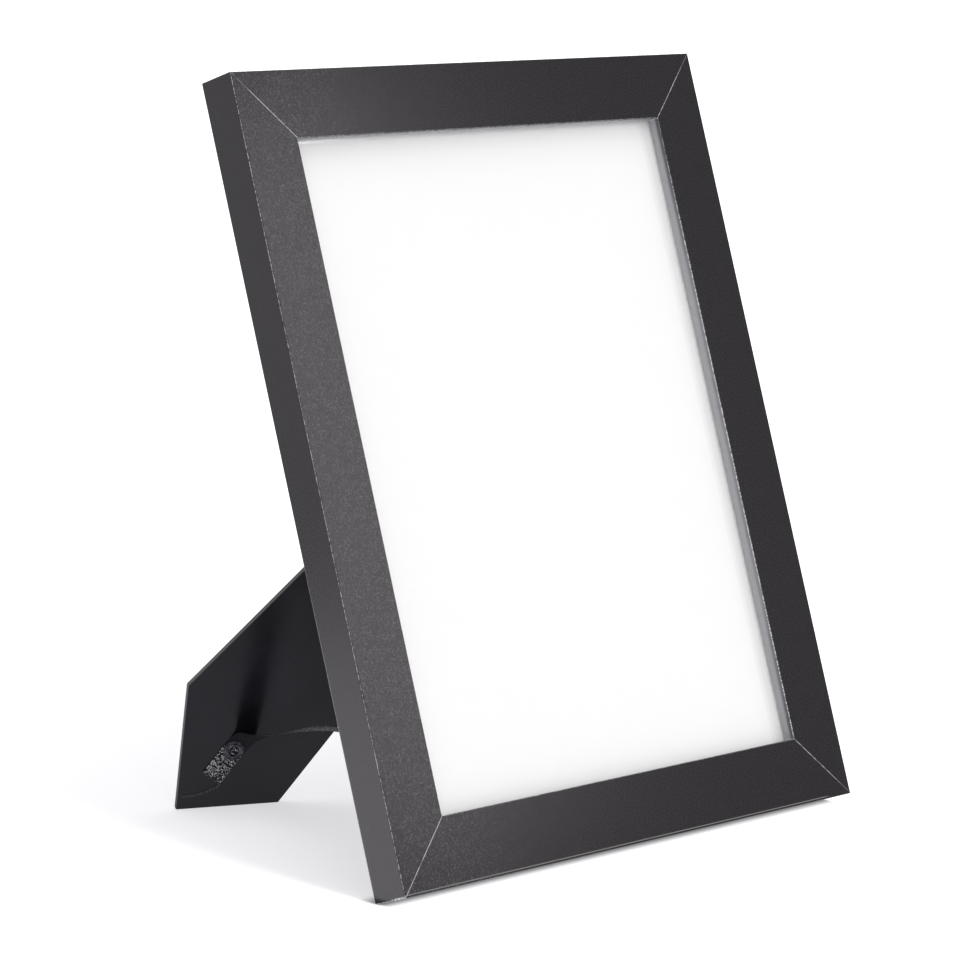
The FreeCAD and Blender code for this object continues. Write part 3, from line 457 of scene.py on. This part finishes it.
# %% Glass and paper
glass, tree, surface, place = start_finish("clear_float_glass")
give(tree, surface, {"Base Color": linear("#FDFDFE"), "Roughness": 0.0, "IOR": 1.52,
                     "Transmission Weight": 1.0})
relief(tree, surface, grain(tree, place, 60.0, detail=1.0), 0.01, 0.2)
path = add(tree, "ShaderNodeLightPath").outputs
on_the_way = most(tree, path["Is Shadow Ray"], path["Is Diffuse Ray"])
clear = add(tree, "ShaderNodeBsdfTransparent", {"Color": linear("#FEFEFE")})
pane = add(tree, "ShaderNodeMixShader", {0: on_the_way, 1: surface.outputs[0], 2: clear.outputs[0]})
output = next(item for item in tree.nodes if item.type == "OUTPUT_MATERIAL")
give(tree, output, {"Surface": pane.outputs[0]})

blank, tree, surface, place = start_finish("bright_white_uncoated_paper")
fibres = grain(tree, place, 1.4, detail=4.0, distortion=1.5)
give(tree, surface, {
    "Base Color": shade_between(tree, fibres, linear("#F3F2F1"), linear("#F7F6F5")),
    "Roughness": 0.85,
    "Specular IOR Level": 0.2,
})
relief(tree, surface, fibres, 0.03, 0.3)
print("glass and paper made")

# %% [markdown]
# ## Card, backboard and strut
# The filler is grey-brown recycled card, seen only at its edges. The backboard is hardboard with black
# paper on its back, matt and slightly fibrous. Each tab has scuffed a faint ring into it. The strut is
# the same board with a smooth lacquered black face, glossy enough to mirror the ribbon softly, and its
# sawn edges show grey fibre.

# %% Card and backboard
card, tree, surface, place = start_finish("recycled_filler_card")
flecks = grain(tree, place, 0.8, detail=3.0)
give(tree, surface, {
    "Base Color": shade_between(tree, flecks, linear("#9C8468"), linear("#BFA88A")),
    "Roughness": 0.9,
})
relief(tree, surface, flecks, 0.05, 0.5)

TAB_PIVOTS = [(-96.95, 75.0), (-96.95, -75.0), (96.95, 75.0), (96.95, -75.0), (0.0, 128.7), (0.0, -128.7)]
SCUFF_RADIUS, SCUFF_SPREAD = 9.0 * MM, 6.2 * MM
# The streaks are stretched round the pivot: a whole turn counts as only a few millimetres of noise.
STREAK_STRETCH, STREAK_SCALE = 0.9 * MM, 1500.0

backing, tree, surface, place = start_finish("black_paper_faced_hardboard")
own, (x, _, z) = square_to(tree, place, frame_centre, frame_turn)
felt = grain(tree, own, 0.9, detail=5.0, roughness=0.65, distortion=0.8)
scuffed = 0.0
for pivot_x, pivot_z in TAB_PIVOTS:
    away_x = minus(tree, x, pivot_x * MM)
    away_z = minus(tree, z, pivot_z * MM)
    reach = length_of(tree, away_x, away_z)
    ring = calculate(tree, "COMPARE", reach, SCUFF_RADIUS, SCUFF_SPREAD)
    turned = times(tree, calculate(tree, "ARCTAN2", away_z, away_x), STREAK_STRETCH)
    arc = add(tree, "ShaderNodeCombineXYZ", {0: reach, 1: turned, 2: pivot_z * MM}).outputs[0]
    sockets = {"Vector": arc, "Scale": STREAK_SCALE, "Detail": 3.0}
    streaks = add(tree, "ShaderNodeTexNoise", sockets).outputs["Fac"]
    scuffed = most(tree, scuffed, times(tree, ring, fade(tree, streaks, 0.54, 0.72, 0.0, 0.30)))
colour = shade_between(tree, felt, linear("#1C1B1D"), linear("#2B2A2C"))
give(tree, surface, {
    "Base Color": shade_between(tree, scuffed, colour, linear("#5A5856")),
    "Roughness": 0.72,
})
relief(tree, surface, felt, 0.06, 0.5)
print("scuffs around", len(TAB_PIVOTS), "tabs")

# %% Strut board
BOARD_THICKNESS = 3.0
LACQUER_WRAP = 0.24
SAWN_ROUGHNESS = (0.7, 0.7, 0.7, 1)

lacquer, tree, surface, place = start_finish("black_lacquered_hardboard")
own, (_, depth, z) = square_to(tree, place, on_strut(0, 0, 0), strut_turn)
half_board = BOARD_THICKNESS / 2
sawn = calculate(tree, "COMPARE", depth, half_board * MM, (half_board - LACQUER_WRAP) * MM)
fibre = grain(tree, own, 0.5, detail=4.0, roughness=0.6)
clouds = fade(tree, grain(tree, own, 45.0, detail=3.0), 0.35, 0.65)
# Painted shade: the face darkens towards its foot, where its lacquer mirrors the shadowed floor.
painted_shade_low_down = fade(tree, z, -205 * MM, -245 * MM)
face = shade_between(tree, clouds, linear("#121116"), linear("#222026"))
face = shade_between(tree, times(tree, painted_shade_low_down, 0.7), face, linear("#0A090D"))
edge = shade_between(tree, fibre, linear("#3C3A3D"), linear("#6E6B6C"))
polish = fade(tree, grain(tree, own, 16.0), 0.3, 0.7, 0.20, 0.28)
give(tree, surface, {
    "Base Color": shade_between(tree, sawn, face, edge),
    "Roughness": shade_between(tree, sawn, polish, SAWN_ROUGHNESS),
    "Specular IOR Level": 0.36,
    "Specular Tint": linear("#F8F5FF"),
})
dimples = times(tree, grain(tree, own, 3.0, detail=1.0), 0.08)
relief(tree, surface, shade_between(tree, sawn, dimples, fibre), 0.04, 0.4)
print("strut edges are sawn between", LACQUER_WRAP, "and", BOARD_THICKNESS - LACQUER_WRAP, "mm")

# %% [markdown]
# ## Metals
# The hinge, tabs and rivets are pressed steel with a chemical black, which leaves a dark brown-grey metal
# that wears bright where it rubs. The pin, and the nails across the mitres, are bare drawn wire. The
# eyelets are brass under gunmetal lacquer, smoother and a little bluer than the steel.

# %% Metals
def metal(name, dark, light, patch_mm, roughness, streak=1.0):
    """Bare or blackened metal with patches of wear and a fine rolled texture."""
    made, tree, surface, place = start_finish(name)
    stretched = add(tree, "ShaderNodeMapping", {"Vector": place, "Scale": (1, 1, streak)}).outputs[0]
    worn = fade(tree, grain(tree, place, patch_mm, detail=4.0), 0.40, 0.80)
    rolled = grain(tree, stretched, 0.35)
    give(tree, surface, {
        "Base Color": shade_between(tree, worn, linear(dark), linear(light)),
        "Metallic": 1.0,
        "Roughness": fade(tree, rolled, 0.3, 0.7, *roughness),
    })
    relief(tree, surface, rolled, 0.02, 0.4)
    return made


tab_steel = metal("blackened_strip_steel", "#3A393B", "#5C5A5A", 3.0, (0.34, 0.46))
rivet_steel = metal("blackened_domed_rivet", "#3B3A3E", "#7A7774", 1.6, (0.26, 0.38))
hinge_steel = metal("blackened_rolled_hinge_steel", "#38373B", "#565459", 2.5, (0.30, 0.40), 0.3)
bright_steel = metal("drawn_steel_wire", "#A9A8A6", "#C8C6C3", 3.0, (0.22, 0.34), 0.1)
gunmetal = metal("gunmetal_lacquered_eyelet", "#303036", "#66666D", 2.0, (0.24, 0.34))
print("metals made")

# %% [markdown]
# ## Giving each piece its finish
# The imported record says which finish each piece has. A CAD piece keeps its mesh, and only the material in
# its slot changes.

# %% Assign the finishes
finishes = {
    "rail_foil": foil, "glass": glass, "blank_paper": blank, "filler_card": card,
    "backboard_black": backing, "strut_black": lacquer, "tab_steel": tab_steel,
    "rivet_steel": rivet_steel, "hinge_steel": hinge_steel, "bright_steel": bright_steel,
    "eyelet_metal": gunmetal,
}
slot_of = {part["node"]: part["material_slot"] for part in frame["record"]["subparts"]}
for name, piece in nodes.items():
    if slot_of[name] in finishes:
        piece.data.materials.clear()
        piece.data.materials.append(finishes[slot_of[name]])
print("finished:", sum(slot in finishes for slot in slot_of.values()), "pieces")

# %% [markdown]
# ## The pane itself
# In the model the pane and the sheet touch, and where two faces share a place the renderer can't tell
# which comes first. So the pane is made again here, a hair thinner, with its edges ground to a small
# bevel as a glass cutter leaves them.

# %% Pane
PANE = Vector((215.9, 1.96, 279.4))
PANE_FRONT = -13.15
PANE_BEVEL = 0.3 * MM

block = bmesh.new()
bmesh.ops.create_cube(block, size=1.0)
for corner in block.verts:
    x, depth, z = (corner.co[axis] * PANE[axis] for axis in range(3))
    corner.co = on_frame(x, PANE_FRONT + PANE.y / 2 + depth, z)
bmesh.ops.bevel(block, geom=block.edges[:], offset=PANE_BEVEL, segments=2, profile=0.5, affect="EDGES")
bmesh.ops.recalc_face_normals(block, faces=block.faces)
ground_pane = finished_shape("ground_edge_pane", block, glass)
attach(ground_pane, "frame")
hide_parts("glass_pane")
print("pane faces:", len(ground_pane.data.polygons))

# %% [markdown]
# ## The ribbon's weave
# The ribbon is a cheap black woven one. Each crossing of the threads catches the light on its own, so up
# close it is black with bright grains, which are painted glints: pale colour on some crossings. The pattern
# is drawn in the strip's own measure, in ribbon widths across it and along it from the tail's cut end, so
# that it follows every bend and twist. The real threads are about 0.3 mm apart; 0.46 mm is the finest that
# shows in the picture.

# %% Ribbon weave
RIBBON_WIDTH = 10.0
THREAD_PITCH = 0.46
EYELET_FROM_TAIL = 1.52
# How far from the eyelet's middle the painted glints start, outside the rim and in the bore, in millimetres;
# nearer the rim the cloth is left dark as painted shade.
RIM_OUTSIDE, RIM_INSIDE = (4.4, 4.9), (2.3, 1.9)

weave, tree, surface, _ = start_finish("black_woven_ribbon_painted_glints")
strip = add(tree, "ShaderNodeUVMap", uv_map="strip").outputs[0]
across, along, _ = add(tree, "ShaderNodeSeparateXYZ", {0: strip}).outputs
per_thread = RIBBON_WIDTH / THREAD_PITCH
counts = [times(tree, across, per_thread), times(tree, along, per_thread)]
waves = [calculate(tree, "SINE", times(tree, count, math.pi)) for count in counts]
knuckles = unsigned(tree, times(tree, *waves))
thread = [calculate(tree, "FLOOR", count) for count in counts]
crossing = add(tree, "ShaderNodeCombineXYZ", {0: thread[0], 1: thread[1]}).outputs[0]
chance = add(tree, "ShaderNodeTexWhiteNoise", {"Vector": crossing}).outputs["Value"]
painted_glints = times(tree, fade(tree, chance, 0.46, 0.74), fade(tree, knuckles, 0.10, 0.45))

# Painted glints on the tail from its eyelet down, kept off the eyelet's rim as painted shade, and a few
# faint ones on the free span.
off_eyelet = times(tree, minus(tree, EYELET_FROM_TAIL, along), RIBBON_WIDTH)
off_middle = times(tree, minus(tree, across, 0.5), RIBBON_WIDTH)
round_eyelet = length_of(tree, off_eyelet, off_middle)
outside_rim_painted_shade = most(tree, fade(tree, round_eyelet, *RIM_OUTSIDE), fade(tree, round_eyelet, *RIM_INSIDE))
on_tail = times(tree, fade(tree, off_eyelet, -1.8, -0.4), outside_rim_painted_shade)
few = calculate(tree, "GREATER_THAN", chance, 0.8)
on_span = times(tree, fade(tree, along, 5.8, 6.8, 0.0, 0.30), few)
painted_glints = times(tree, painted_glints, most(tree, on_tail, on_span))
yarn = shade_between(tree, knuckles, linear("#060508"), linear("#131117"))
give(tree, surface, {
    "Base Color": shade_between(tree, painted_glints, yarn, linear("#F2F2F4")),
    "Roughness": fade(tree, painted_glints, 0.0, 1.0, 0.55, 0.25),
    "Specular IOR Level": 0.2,
    "Specular Tint": linear("#F4EEFF"),
})
relief(tree, surface, calculate(tree, "ADD", knuckles, times(tree, chance, 0.8)), 0.10, 0.8)
print("threads across the ribbon:", round(per_thread))

# %% [markdown]
# ## The ribbon's path
# One strip runs from its board end, under the board's eyelet, across the gap and under the strut's eyelet
# to its cut tail. It is slack, so it leaves each panel along that panel and bends off it. It also
# twists for a stretch before the strut, where the eye sees it narrower, as cheap ribbon does. The path
# is a short list of points that a smooth curve follows, with the twist beside each.

# %% Ribbon path
# Down each panel from the pin, in millimetres: where the ribbon comes off it, and its eyelet.
LEAVE_BOARD, LEAVE_STRUT = 180.2, 221.1
BOARD_EYELET, STRUT_EYELET = 175.0, 226.3
# The ribbon's middle: along the pin, out from the pin on the board, and off the strut's face.
MIDDLE = 1.4
ON_BOARD, OFF_STRUT = -1.72, 0.23
# Along the straight line from one leaving place to the other, aside from it, and the twist in degrees.
SLACK = [
    (-0.5, 4.6, 0), (1.5, -1.9, -4), (8, 6.1, -8), (22, 14.1, -11), (40, 12.4, -10), (60, 6, -7),
    (78, 0.7, -10), (92, -1.5, -17), (104, -1.7, -27), (115, -1.6, -37), (127, -1.5, -37),
    (137, -1.4, -28), (145.2, -2.4, -8),
]
# Down the strut, off its face, and how far the tail has drifted aside.
TAIL = [
    (LEAVE_STRUT, OFF_STRUT, 0), (224, OFF_STRUT, 0), (227, OFF_STRUT, 0.1), (231, OFF_STRUT, 0.3),
    (235, 0.26, 0.6), (239, 0.4, 0.9), (241.6, 0.6, 1.1), (243.5, 0.8, 1.2),
]
ROW_STEP = 0.4 * MM


def strut_in_hinge(reach, lift):
    """Down the board and out from it, for a place on the open strut."""
    face = STRUT_FACE - lift
    return (reach * math.cos(OPEN_ANGLE) - face * math.sin(OPEN_ANGLE),
            reach * math.sin(OPEN_ANGLE) + face * math.cos(OPEN_ANGLE))


def follow(points, steps):
    """Points of a smooth curve (a uniform cubic B-spline) that the given points guide."""
    found = []
    for index in range(len(points) - 3):
        a, b, c, d = points[index:index + 4]
        for t in np.linspace(0, 1, steps, endpoint=False):
            found.append(((1 - t) ** 3 * a + (3 * t ** 3 - 6 * t ** 2 + 4) * b
                          + (-3 * t ** 3 + 3 * t ** 2 + 3 * t + 1) * c + t ** 3 * d) / 6)
    return np.array(found)


def travelled(line):
    """How far along a line each of its points is."""
    gaps = np.linalg.norm(np.diff(line, axis=0), axis=1)
    return np.concatenate(([0], np.cumsum(gaps)))


def at_distances(wanted, distances, line):
    """The places of a line at the wanted distances along it."""
    return np.column_stack([np.interp(wanted, distances, line[:, axis]) for axis in range(3)])


def ahead_of(line):
    """The way ahead at each point of a line, one long."""
    way = np.gradient(line, axis=0)
    return way / np.linalg.norm(way, axis=1)[:, None]


start = np.array((LEAVE_BOARD, ON_BOARD))
stop = np.array(strut_in_hinge(LEAVE_STRUT, OFF_STRUT))
straight = (stop - start) / np.linalg.norm(stop - start)
sideways = np.array((straight[1], -straight[0]))

guide = [(MIDDLE, reach, ON_BOARD, 0) for reach in (162, 166, 171, BOARD_EYELET, 178, LEAVE_BOARD)]
for distance, slack, twist in SLACK:
    along_board, out = start + straight * distance + sideways * slack
    guide.append((MIDDLE, along_board, out, twist))
for reach, lift, drift in TAIL:
    guide.append((MIDDLE + drift, *strut_in_hinge(reach, lift), 0))

fine = follow(np.array(guide), 60)
places = np.array([on_hinge(*row[:3]) for row in fine])
distances = travelled(places)
length = distances[-1]
rows = int(length / ROW_STEP)
even = np.linspace(0, length, rows)
centre_line = at_distances(even, distances, places)
twist = np.radians(np.interp(even, distances, fine[:, 3]))

eyelets = [np.array(on_hinge(MIDDLE, BOARD_EYELET, ON_BOARD)),
           np.array(on_strut(MIDDLE, STRUT_EYELET, OFF_STRUT))]
nearest = np.argmin(np.linalg.norm(centre_line - eyelets[1], axis=1))
print("ribbon length, mm:", round(length / MM, 1), "rows:", rows)
print("strut eyelet, widths from the tail:", round((length - even[nearest]) / (RIBBON_WIDTH * MM), 2))

# %% [markdown]
# ## The ribbon's strip
# The strip is a thin closed tube of quads: a top, an underside and two rounded edges. It cups
# slightly where it is free, and where the eyelets press through it the cloth is pushed into the bore,
# which is what shows through the eyelet's hole.

# %% Ribbon strip
RIBBON_THICKNESS = 0.38 * MM
COLUMNS = 26
EDGE_SQUARENESS, THINNEST = 10, 0.25
BORE, PRESSED = 2.2 * MM, 1.05
DENT, CRUMPLE, CRUMPLE_RATES = 0.75 * MM, 0.22 * MM, (5.1, 4.3)
CUP, CUP_LEVEL = 0.35 * MM, 0.3
RIPPLE, RIPPLE_RATE, RIPPLE_SLANT = 0.06 * MM, 2.1, 3
FRAY = 0.2
# Cloth that lies flat at the board end and at the tail, and how soon it is wholly free after that.
FLAT_AT_BOARD, FLAT_AT_TAIL, FREE_AFTER = 20 * MM, 28 * MM, 14 * MM
rng = np.random.default_rng(7)

tangent = ahead_of(centre_line)
pin_line = np.array(hinge_turn @ Vector((1, 0, 0)))
level = np.cross(tangent, pin_line)
width_line = pin_line * np.cos(twist)[:, None] + level * np.sin(twist)[:, None]
normal = np.cross(width_line, tangent)

shares = np.linspace(-0.5, 0.5, COLUMNS)
push = [np.array(hinge_turn @ Vector((0, -1, 0))), np.array(strut_turn @ Vector((0, 1, 0)))]
from_flat = np.minimum(even - FLAT_AT_BOARD, length - FLAT_AT_TAIL - even)
free = np.clip(from_flat / FREE_AFTER, 0, 1)
# Once round the tube: each column on the top face, and then back along the underside.
rim = [(column, 1) for column in range(COLUMNS)]
rim += [(column, -1) for column in reversed(range(COLUMNS))]
around = len(rim)


def strip_point(row, column, face, fray):
    """A point on the strip's top or underside, cupped where it is free and pressed into the bores."""
    share = shares[column]
    thin = max(math.sqrt(max(0.0, 1 - (2 * abs(share)) ** EDGE_SQUARENESS)), THINNEST)
    ripple = RIPPLE * math.sin(even[row] / MM * RIPPLE_RATE + share * RIPPLE_SLANT) * free[row]
    cup = CUP * free[row] * ((2 * share) ** 2 - CUP_LEVEL)
    point = (centre_line[row] + width_line[row] * (share * RIBBON_WIDTH * MM)
             + normal[row] * (face * RIBBON_THICKNESS / 2 * thin + cup + ripple)
             + tangent[row] * fray)
    for eyelet, inward in zip(eyelets, push):
        away = np.linalg.norm(point - eyelet)
        if away < BORE * PRESSED:
            dent = DENT * (1 - (away / BORE / PRESSED) ** 2)
            wrinkle = [place / MM * rate for place, rate in zip(point[::2], CRUMPLE_RATES)]
            dent += CRUMPLE * math.sin(wrinkle[0]) * math.cos(wrinkle[1])
            point = point + inward * max(dent, 0)
    return point


def strip_place(row, index):
    """Where a point of the tube is on the flat strip, in widths: across it, and from the tail."""
    return shares[rim[index][0]] + 0.5, (length - even[row]) / (RIBBON_WIDTH * MM)


tube = bmesh.new()
grid = []
for row in range(rows):
    cut = row in (0, rows - 1)
    fray = rng.uniform(-FRAY, FRAY, COLUMNS) * MM if cut else np.zeros(COLUMNS)
    grid.append([tube.verts.new(strip_point(row, column, face, fray[column])) for column, face in rim])

uv = tube.loops.layers.uv.new("strip")
for row in range(rows - 1):
    for index in range(around):
        after = (index + 1) % around
        corners = ((row, index), (row, after), (row + 1, after), (row + 1, index))
        quad = tube.faces.new([grid[a][b] for a, b in corners])
        quad.smooth = True
        for loop, corner in zip(quad.loops, corners):
            loop[uv].uv = strip_place(*corner)
for row, flip in ((0, True), (rows - 1, False)):
    for index in range(COLUMNS - 1):
        other = around - 1 - index
        corners = [(row, index), (row, index + 1), (row, other - 1), (row, other)]
        if flip:
            corners.reverse()
        cap = tube.faces.new([grid[a][b] for a, b in corners])
        for loop, corner in zip(cap.loops, corners):
            loop[uv].uv = strip_place(*corner)
bmesh.ops.recalc_face_normals(tube, faces=tube.faces)
ribbon = finished_shape("ribbon", tube, weave)
print("ribbon triangles:", sum(len(face.vertices) - 2 for face in ribbon.data.polygons))

# %% [markdown]
# ## Frayed ends
# Both ends are cut with scissors, so short warp threads stick out of them. They repeat along a line,
# which suits Geometry Nodes: a line is resampled to one point for each thread, a bent thread is put on
# each with a random tilt and length, and the result is turned into a plain mesh.

# %% Thread finish
yarn_finish, tree, surface, place = start_finish("black_loose_yarn")
fuzz = grain(tree, place, 0.5, detail=3.0)
give(tree, surface, {
    "Base Color": shade_between(tree, fuzz, linear("#242326"), linear("#96959A")),
    "Roughness": 0.5,
})
relief(tree, surface, fuzz, 0.1, 0.7)
print("yarn:", len(tree.nodes), "nodes")


# %% Fringe tree
TILT, SPIN = 0.35, 3.1
SHORTEST, LONGEST = 0.3, 1.0
SECTION_SIDES = 5
# How far inside the cloth the threads start, and half their row's width, in ribbon widths.
FRINGE_INSIDE, FRINGE_HALF = 0.2 * MM, 0.48


def fringe_tree():
    """A line becomes a row of short bent threads that point along a given direction."""
    tree = bpy.data.node_groups.new("cut_edge_fringe", "GeometryNodeTree")
    ports = tree.interface
    ports.new_socket("Geometry", in_out="INPUT", socket_type="NodeSocketGeometry")
    for name, kind in (("Threads", "Int"), ("Thread length", "Float"), ("Thread radius", "Float"),
                       ("Outward", "Vector"), ("Seed", "Int"), ("Finish", "Material")):
        ports.new_socket(name, in_out="INPUT", socket_type=f"NodeSocket{kind}")
    ports.new_socket("Geometry", in_out="OUTPUT", socket_type="NodeSocketGeometry")
    given = add(tree, "NodeGroupInput").outputs
    line = add(tree, "GeometryNodeMeshToCurve", {0: given["Geometry"]})
    spots = add(tree, "GeometryNodeResampleCurve", {"Curve": line.outputs[0], "Count": given["Threads"]})
    bent = add(tree, "GeometryNodeCurveQuadraticBezier",
               {"Resolution": 5, "Start": (0, 0, 0), "Middle": (0.1, 0.05, 0.6), "End": (0.35, 0.0, 1.0)})
    scale = add(tree, "GeometryNodeTransform", {"Geometry": bent.outputs[0], "Scale": given["Thread length"]})
    section = add(tree, "GeometryNodeCurvePrimitiveCircle",
                  {"Resolution": SECTION_SIDES, "Radius": given["Thread radius"]})
    thread = add(tree, "GeometryNodeCurveToMesh", {
        "Curve": scale.outputs[0], "Profile Curve": section.outputs[0], "Fill Caps": True})
    aimed = add(tree, "FunctionNodeAlignRotationToVector", {"Vector": given["Outward"]}, axis="Z")
    tilt = add(tree, "FunctionNodeRandomValue", {"Seed": given["Seed"]}, data_type="FLOAT_VECTOR")
    give(tree, tilt, {0: (-TILT, -TILT, -SPIN), 1: (TILT, TILT, SPIN)})
    turned = add(tree, "FunctionNodeRotateRotation",
                 {0: aimed.outputs[0], 1: tilt.outputs[0]}, rotation_space="LOCAL")
    stretch = add(tree, "FunctionNodeRandomValue", {"Seed": given["Seed"]}, data_type="FLOAT")
    give(tree, stretch, {2: SHORTEST, 3: LONGEST})
    row = add(tree, "GeometryNodeInstanceOnPoints", {
        "Points": spots.outputs[0], "Instance": thread.outputs[0], "Rotation": turned.outputs[0],
        "Scale": stretch.outputs[1]})
    real = add(tree, "GeometryNodeRealizeInstances", {0: row.outputs[0]})
    painted = add(tree, "GeometryNodeSetMaterial",
                  {"Geometry": real.outputs[0], "Material": given["Finish"]})
    add(tree, "NodeGroupOutput", {"Geometry": painted.outputs[0]})
    return tree


fringe_nodes = fringe_tree()


def fringe(name, body, left, right, outward, seed):
    """Make the threads of one cut end, ending as a plain mesh that moves with one body."""
    line = bpy.data.meshes.new(f"{name}_line")
    line.from_pydata([left, right], [(0, 1)], [])
    holder = put_in_scene(f"{name}_line", line)
    modifier = holder.modifiers.new("fringe", "NODES")
    modifier.node_group = fringe_nodes
    values = {"Threads": 22, "Thread length": 1.2 * MM, "Thread radius": 0.09 * MM,
              "Outward": outward, "Seed": seed, "Finish": yarn_finish}
    for socket in fringe_nodes.interface.items_tree:
        if socket.in_out == "INPUT" and socket.name in values:
            modifier[socket.identifier] = values[socket.name]
    ready = holder.evaluated_get(bpy.context.evaluated_depsgraph_get())
    mesh = bpy.data.meshes.new_from_object(ready)
    mesh.name = name
    bpy.data.objects.remove(holder)
    made = put_in_scene(name, mesh)
    for face in mesh.polygons:
        face.use_smooth = True
    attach(made, body)
    print(name, "faces:", len(mesh.polygons))
    return made


def cut_end(row, direction):
    """The two corners of a cut end, a little inside the cloth, and the way out of it."""
    middle = centre_line[row] - direction * FRINGE_INSIDE
    half = width_line[row] * (FRINGE_HALF * RIBBON_WIDTH * MM)
    return Vector(middle - half), Vector(middle + half), Vector(direction)


tail_fringe = fringe("tail_fringe", "strut", *cut_end(rows - 1, tangent[-1]), seed=11)
board_fringe = fringe("board_end_fringe", "frame", *cut_end(0, -tangent[0]), seed=4)

# %% [markdown]
# ## The loose thread
# One thread has pulled out of the tail's lower corner and springs off the strut in a crimped curve, which
# is the shape that weaving pressed into it. A tube is swept along its path, with the crimp as a small
# wave square to the path.

# %% Loose thread
# On the strut, in millimetres: along the pin, down from it, and off the inner face.
THREAD_PATH = [
    (4.6, 238.5, 0.3), (6.3, 241, 0.4), (7.4, 242.4, 0.65), (7.1, 244.1, 0.65), (6, 246.1, 0.65),
    (4.6, 248.3, 0.65), (3.4, 250.1, 0.65), (1.3, 252.6, 0.65), (-1, 254.8, 0.65),
    (-3.1, 256, 0.65), (-4, 256.6, 0.65),
]
THREAD_STEP = 0.14
CRIMP, CRIMP_PITCH, CRIMP_START = 0.48, 1.5, 3
CRIMP_BESIDE, CRIMP_ABOVE = 0.8, 0.5
THREAD_RADIUS, THREAD_TAPER = 0.15, 0.35
SIDES, RING_TURN = 6, 0.35

guided = follow(np.array(THREAD_PATH, float), 40)
run = travelled(guided)
even_run = np.arange(0, run[-1], THREAD_STEP)
thread_line = at_distances(even_run, run, guided)
ahead = ahead_of(thread_line)
beside = np.cross(ahead, (0, 0, 1.0))
beside /= np.linalg.norm(beside, axis=1)[:, None]
above = np.cross(beside, ahead)
wave = CRIMP * np.sin(2 * math.pi * even_run / CRIMP_PITCH) * np.clip(even_run / CRIMP_START, 0, 1)
wave = wave[:, None]
thread_line = thread_line + beside * wave * CRIMP_BESIDE + above * wave * CRIMP_ABOVE

thread_tube = bmesh.new()
rings = []
for index, middle in enumerate(thread_line):
    radius = THREAD_RADIUS * (1 - THREAD_TAPER * index / len(thread_line))
    turns = [2 * math.pi * side / SIDES + index * RING_TURN for side in range(SIDES)]
    ring = [middle + radius * (beside[index] * math.cos(turn) + above[index] * math.sin(turn))
            for turn in turns]
    rings.append([thread_tube.verts.new(on_strut(*point)) for point in ring])
for first, second in zip(rings, rings[1:]):
    for side in range(SIDES):
        after = (side + 1) % SIDES
        quad = thread_tube.faces.new((first[side], first[after], second[after], second[side]))
        quad.smooth = True
for ring in (rings[0], rings[-1]):
    thread_tube.faces.new(ring)
bmesh.ops.recalc_face_normals(thread_tube, faces=thread_tube.faces)
loose_thread = finished_shape("loose_thread", thread_tube, yarn_finish)
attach(loose_thread, "strut")
print("loose thread, mm:", round(run[-1], 1))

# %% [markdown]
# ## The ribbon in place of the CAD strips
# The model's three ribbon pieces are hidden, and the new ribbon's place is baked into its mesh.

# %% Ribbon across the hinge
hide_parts("ribbon_board_end", "ribbon_span", "ribbon_tail")
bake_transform(ribbon)
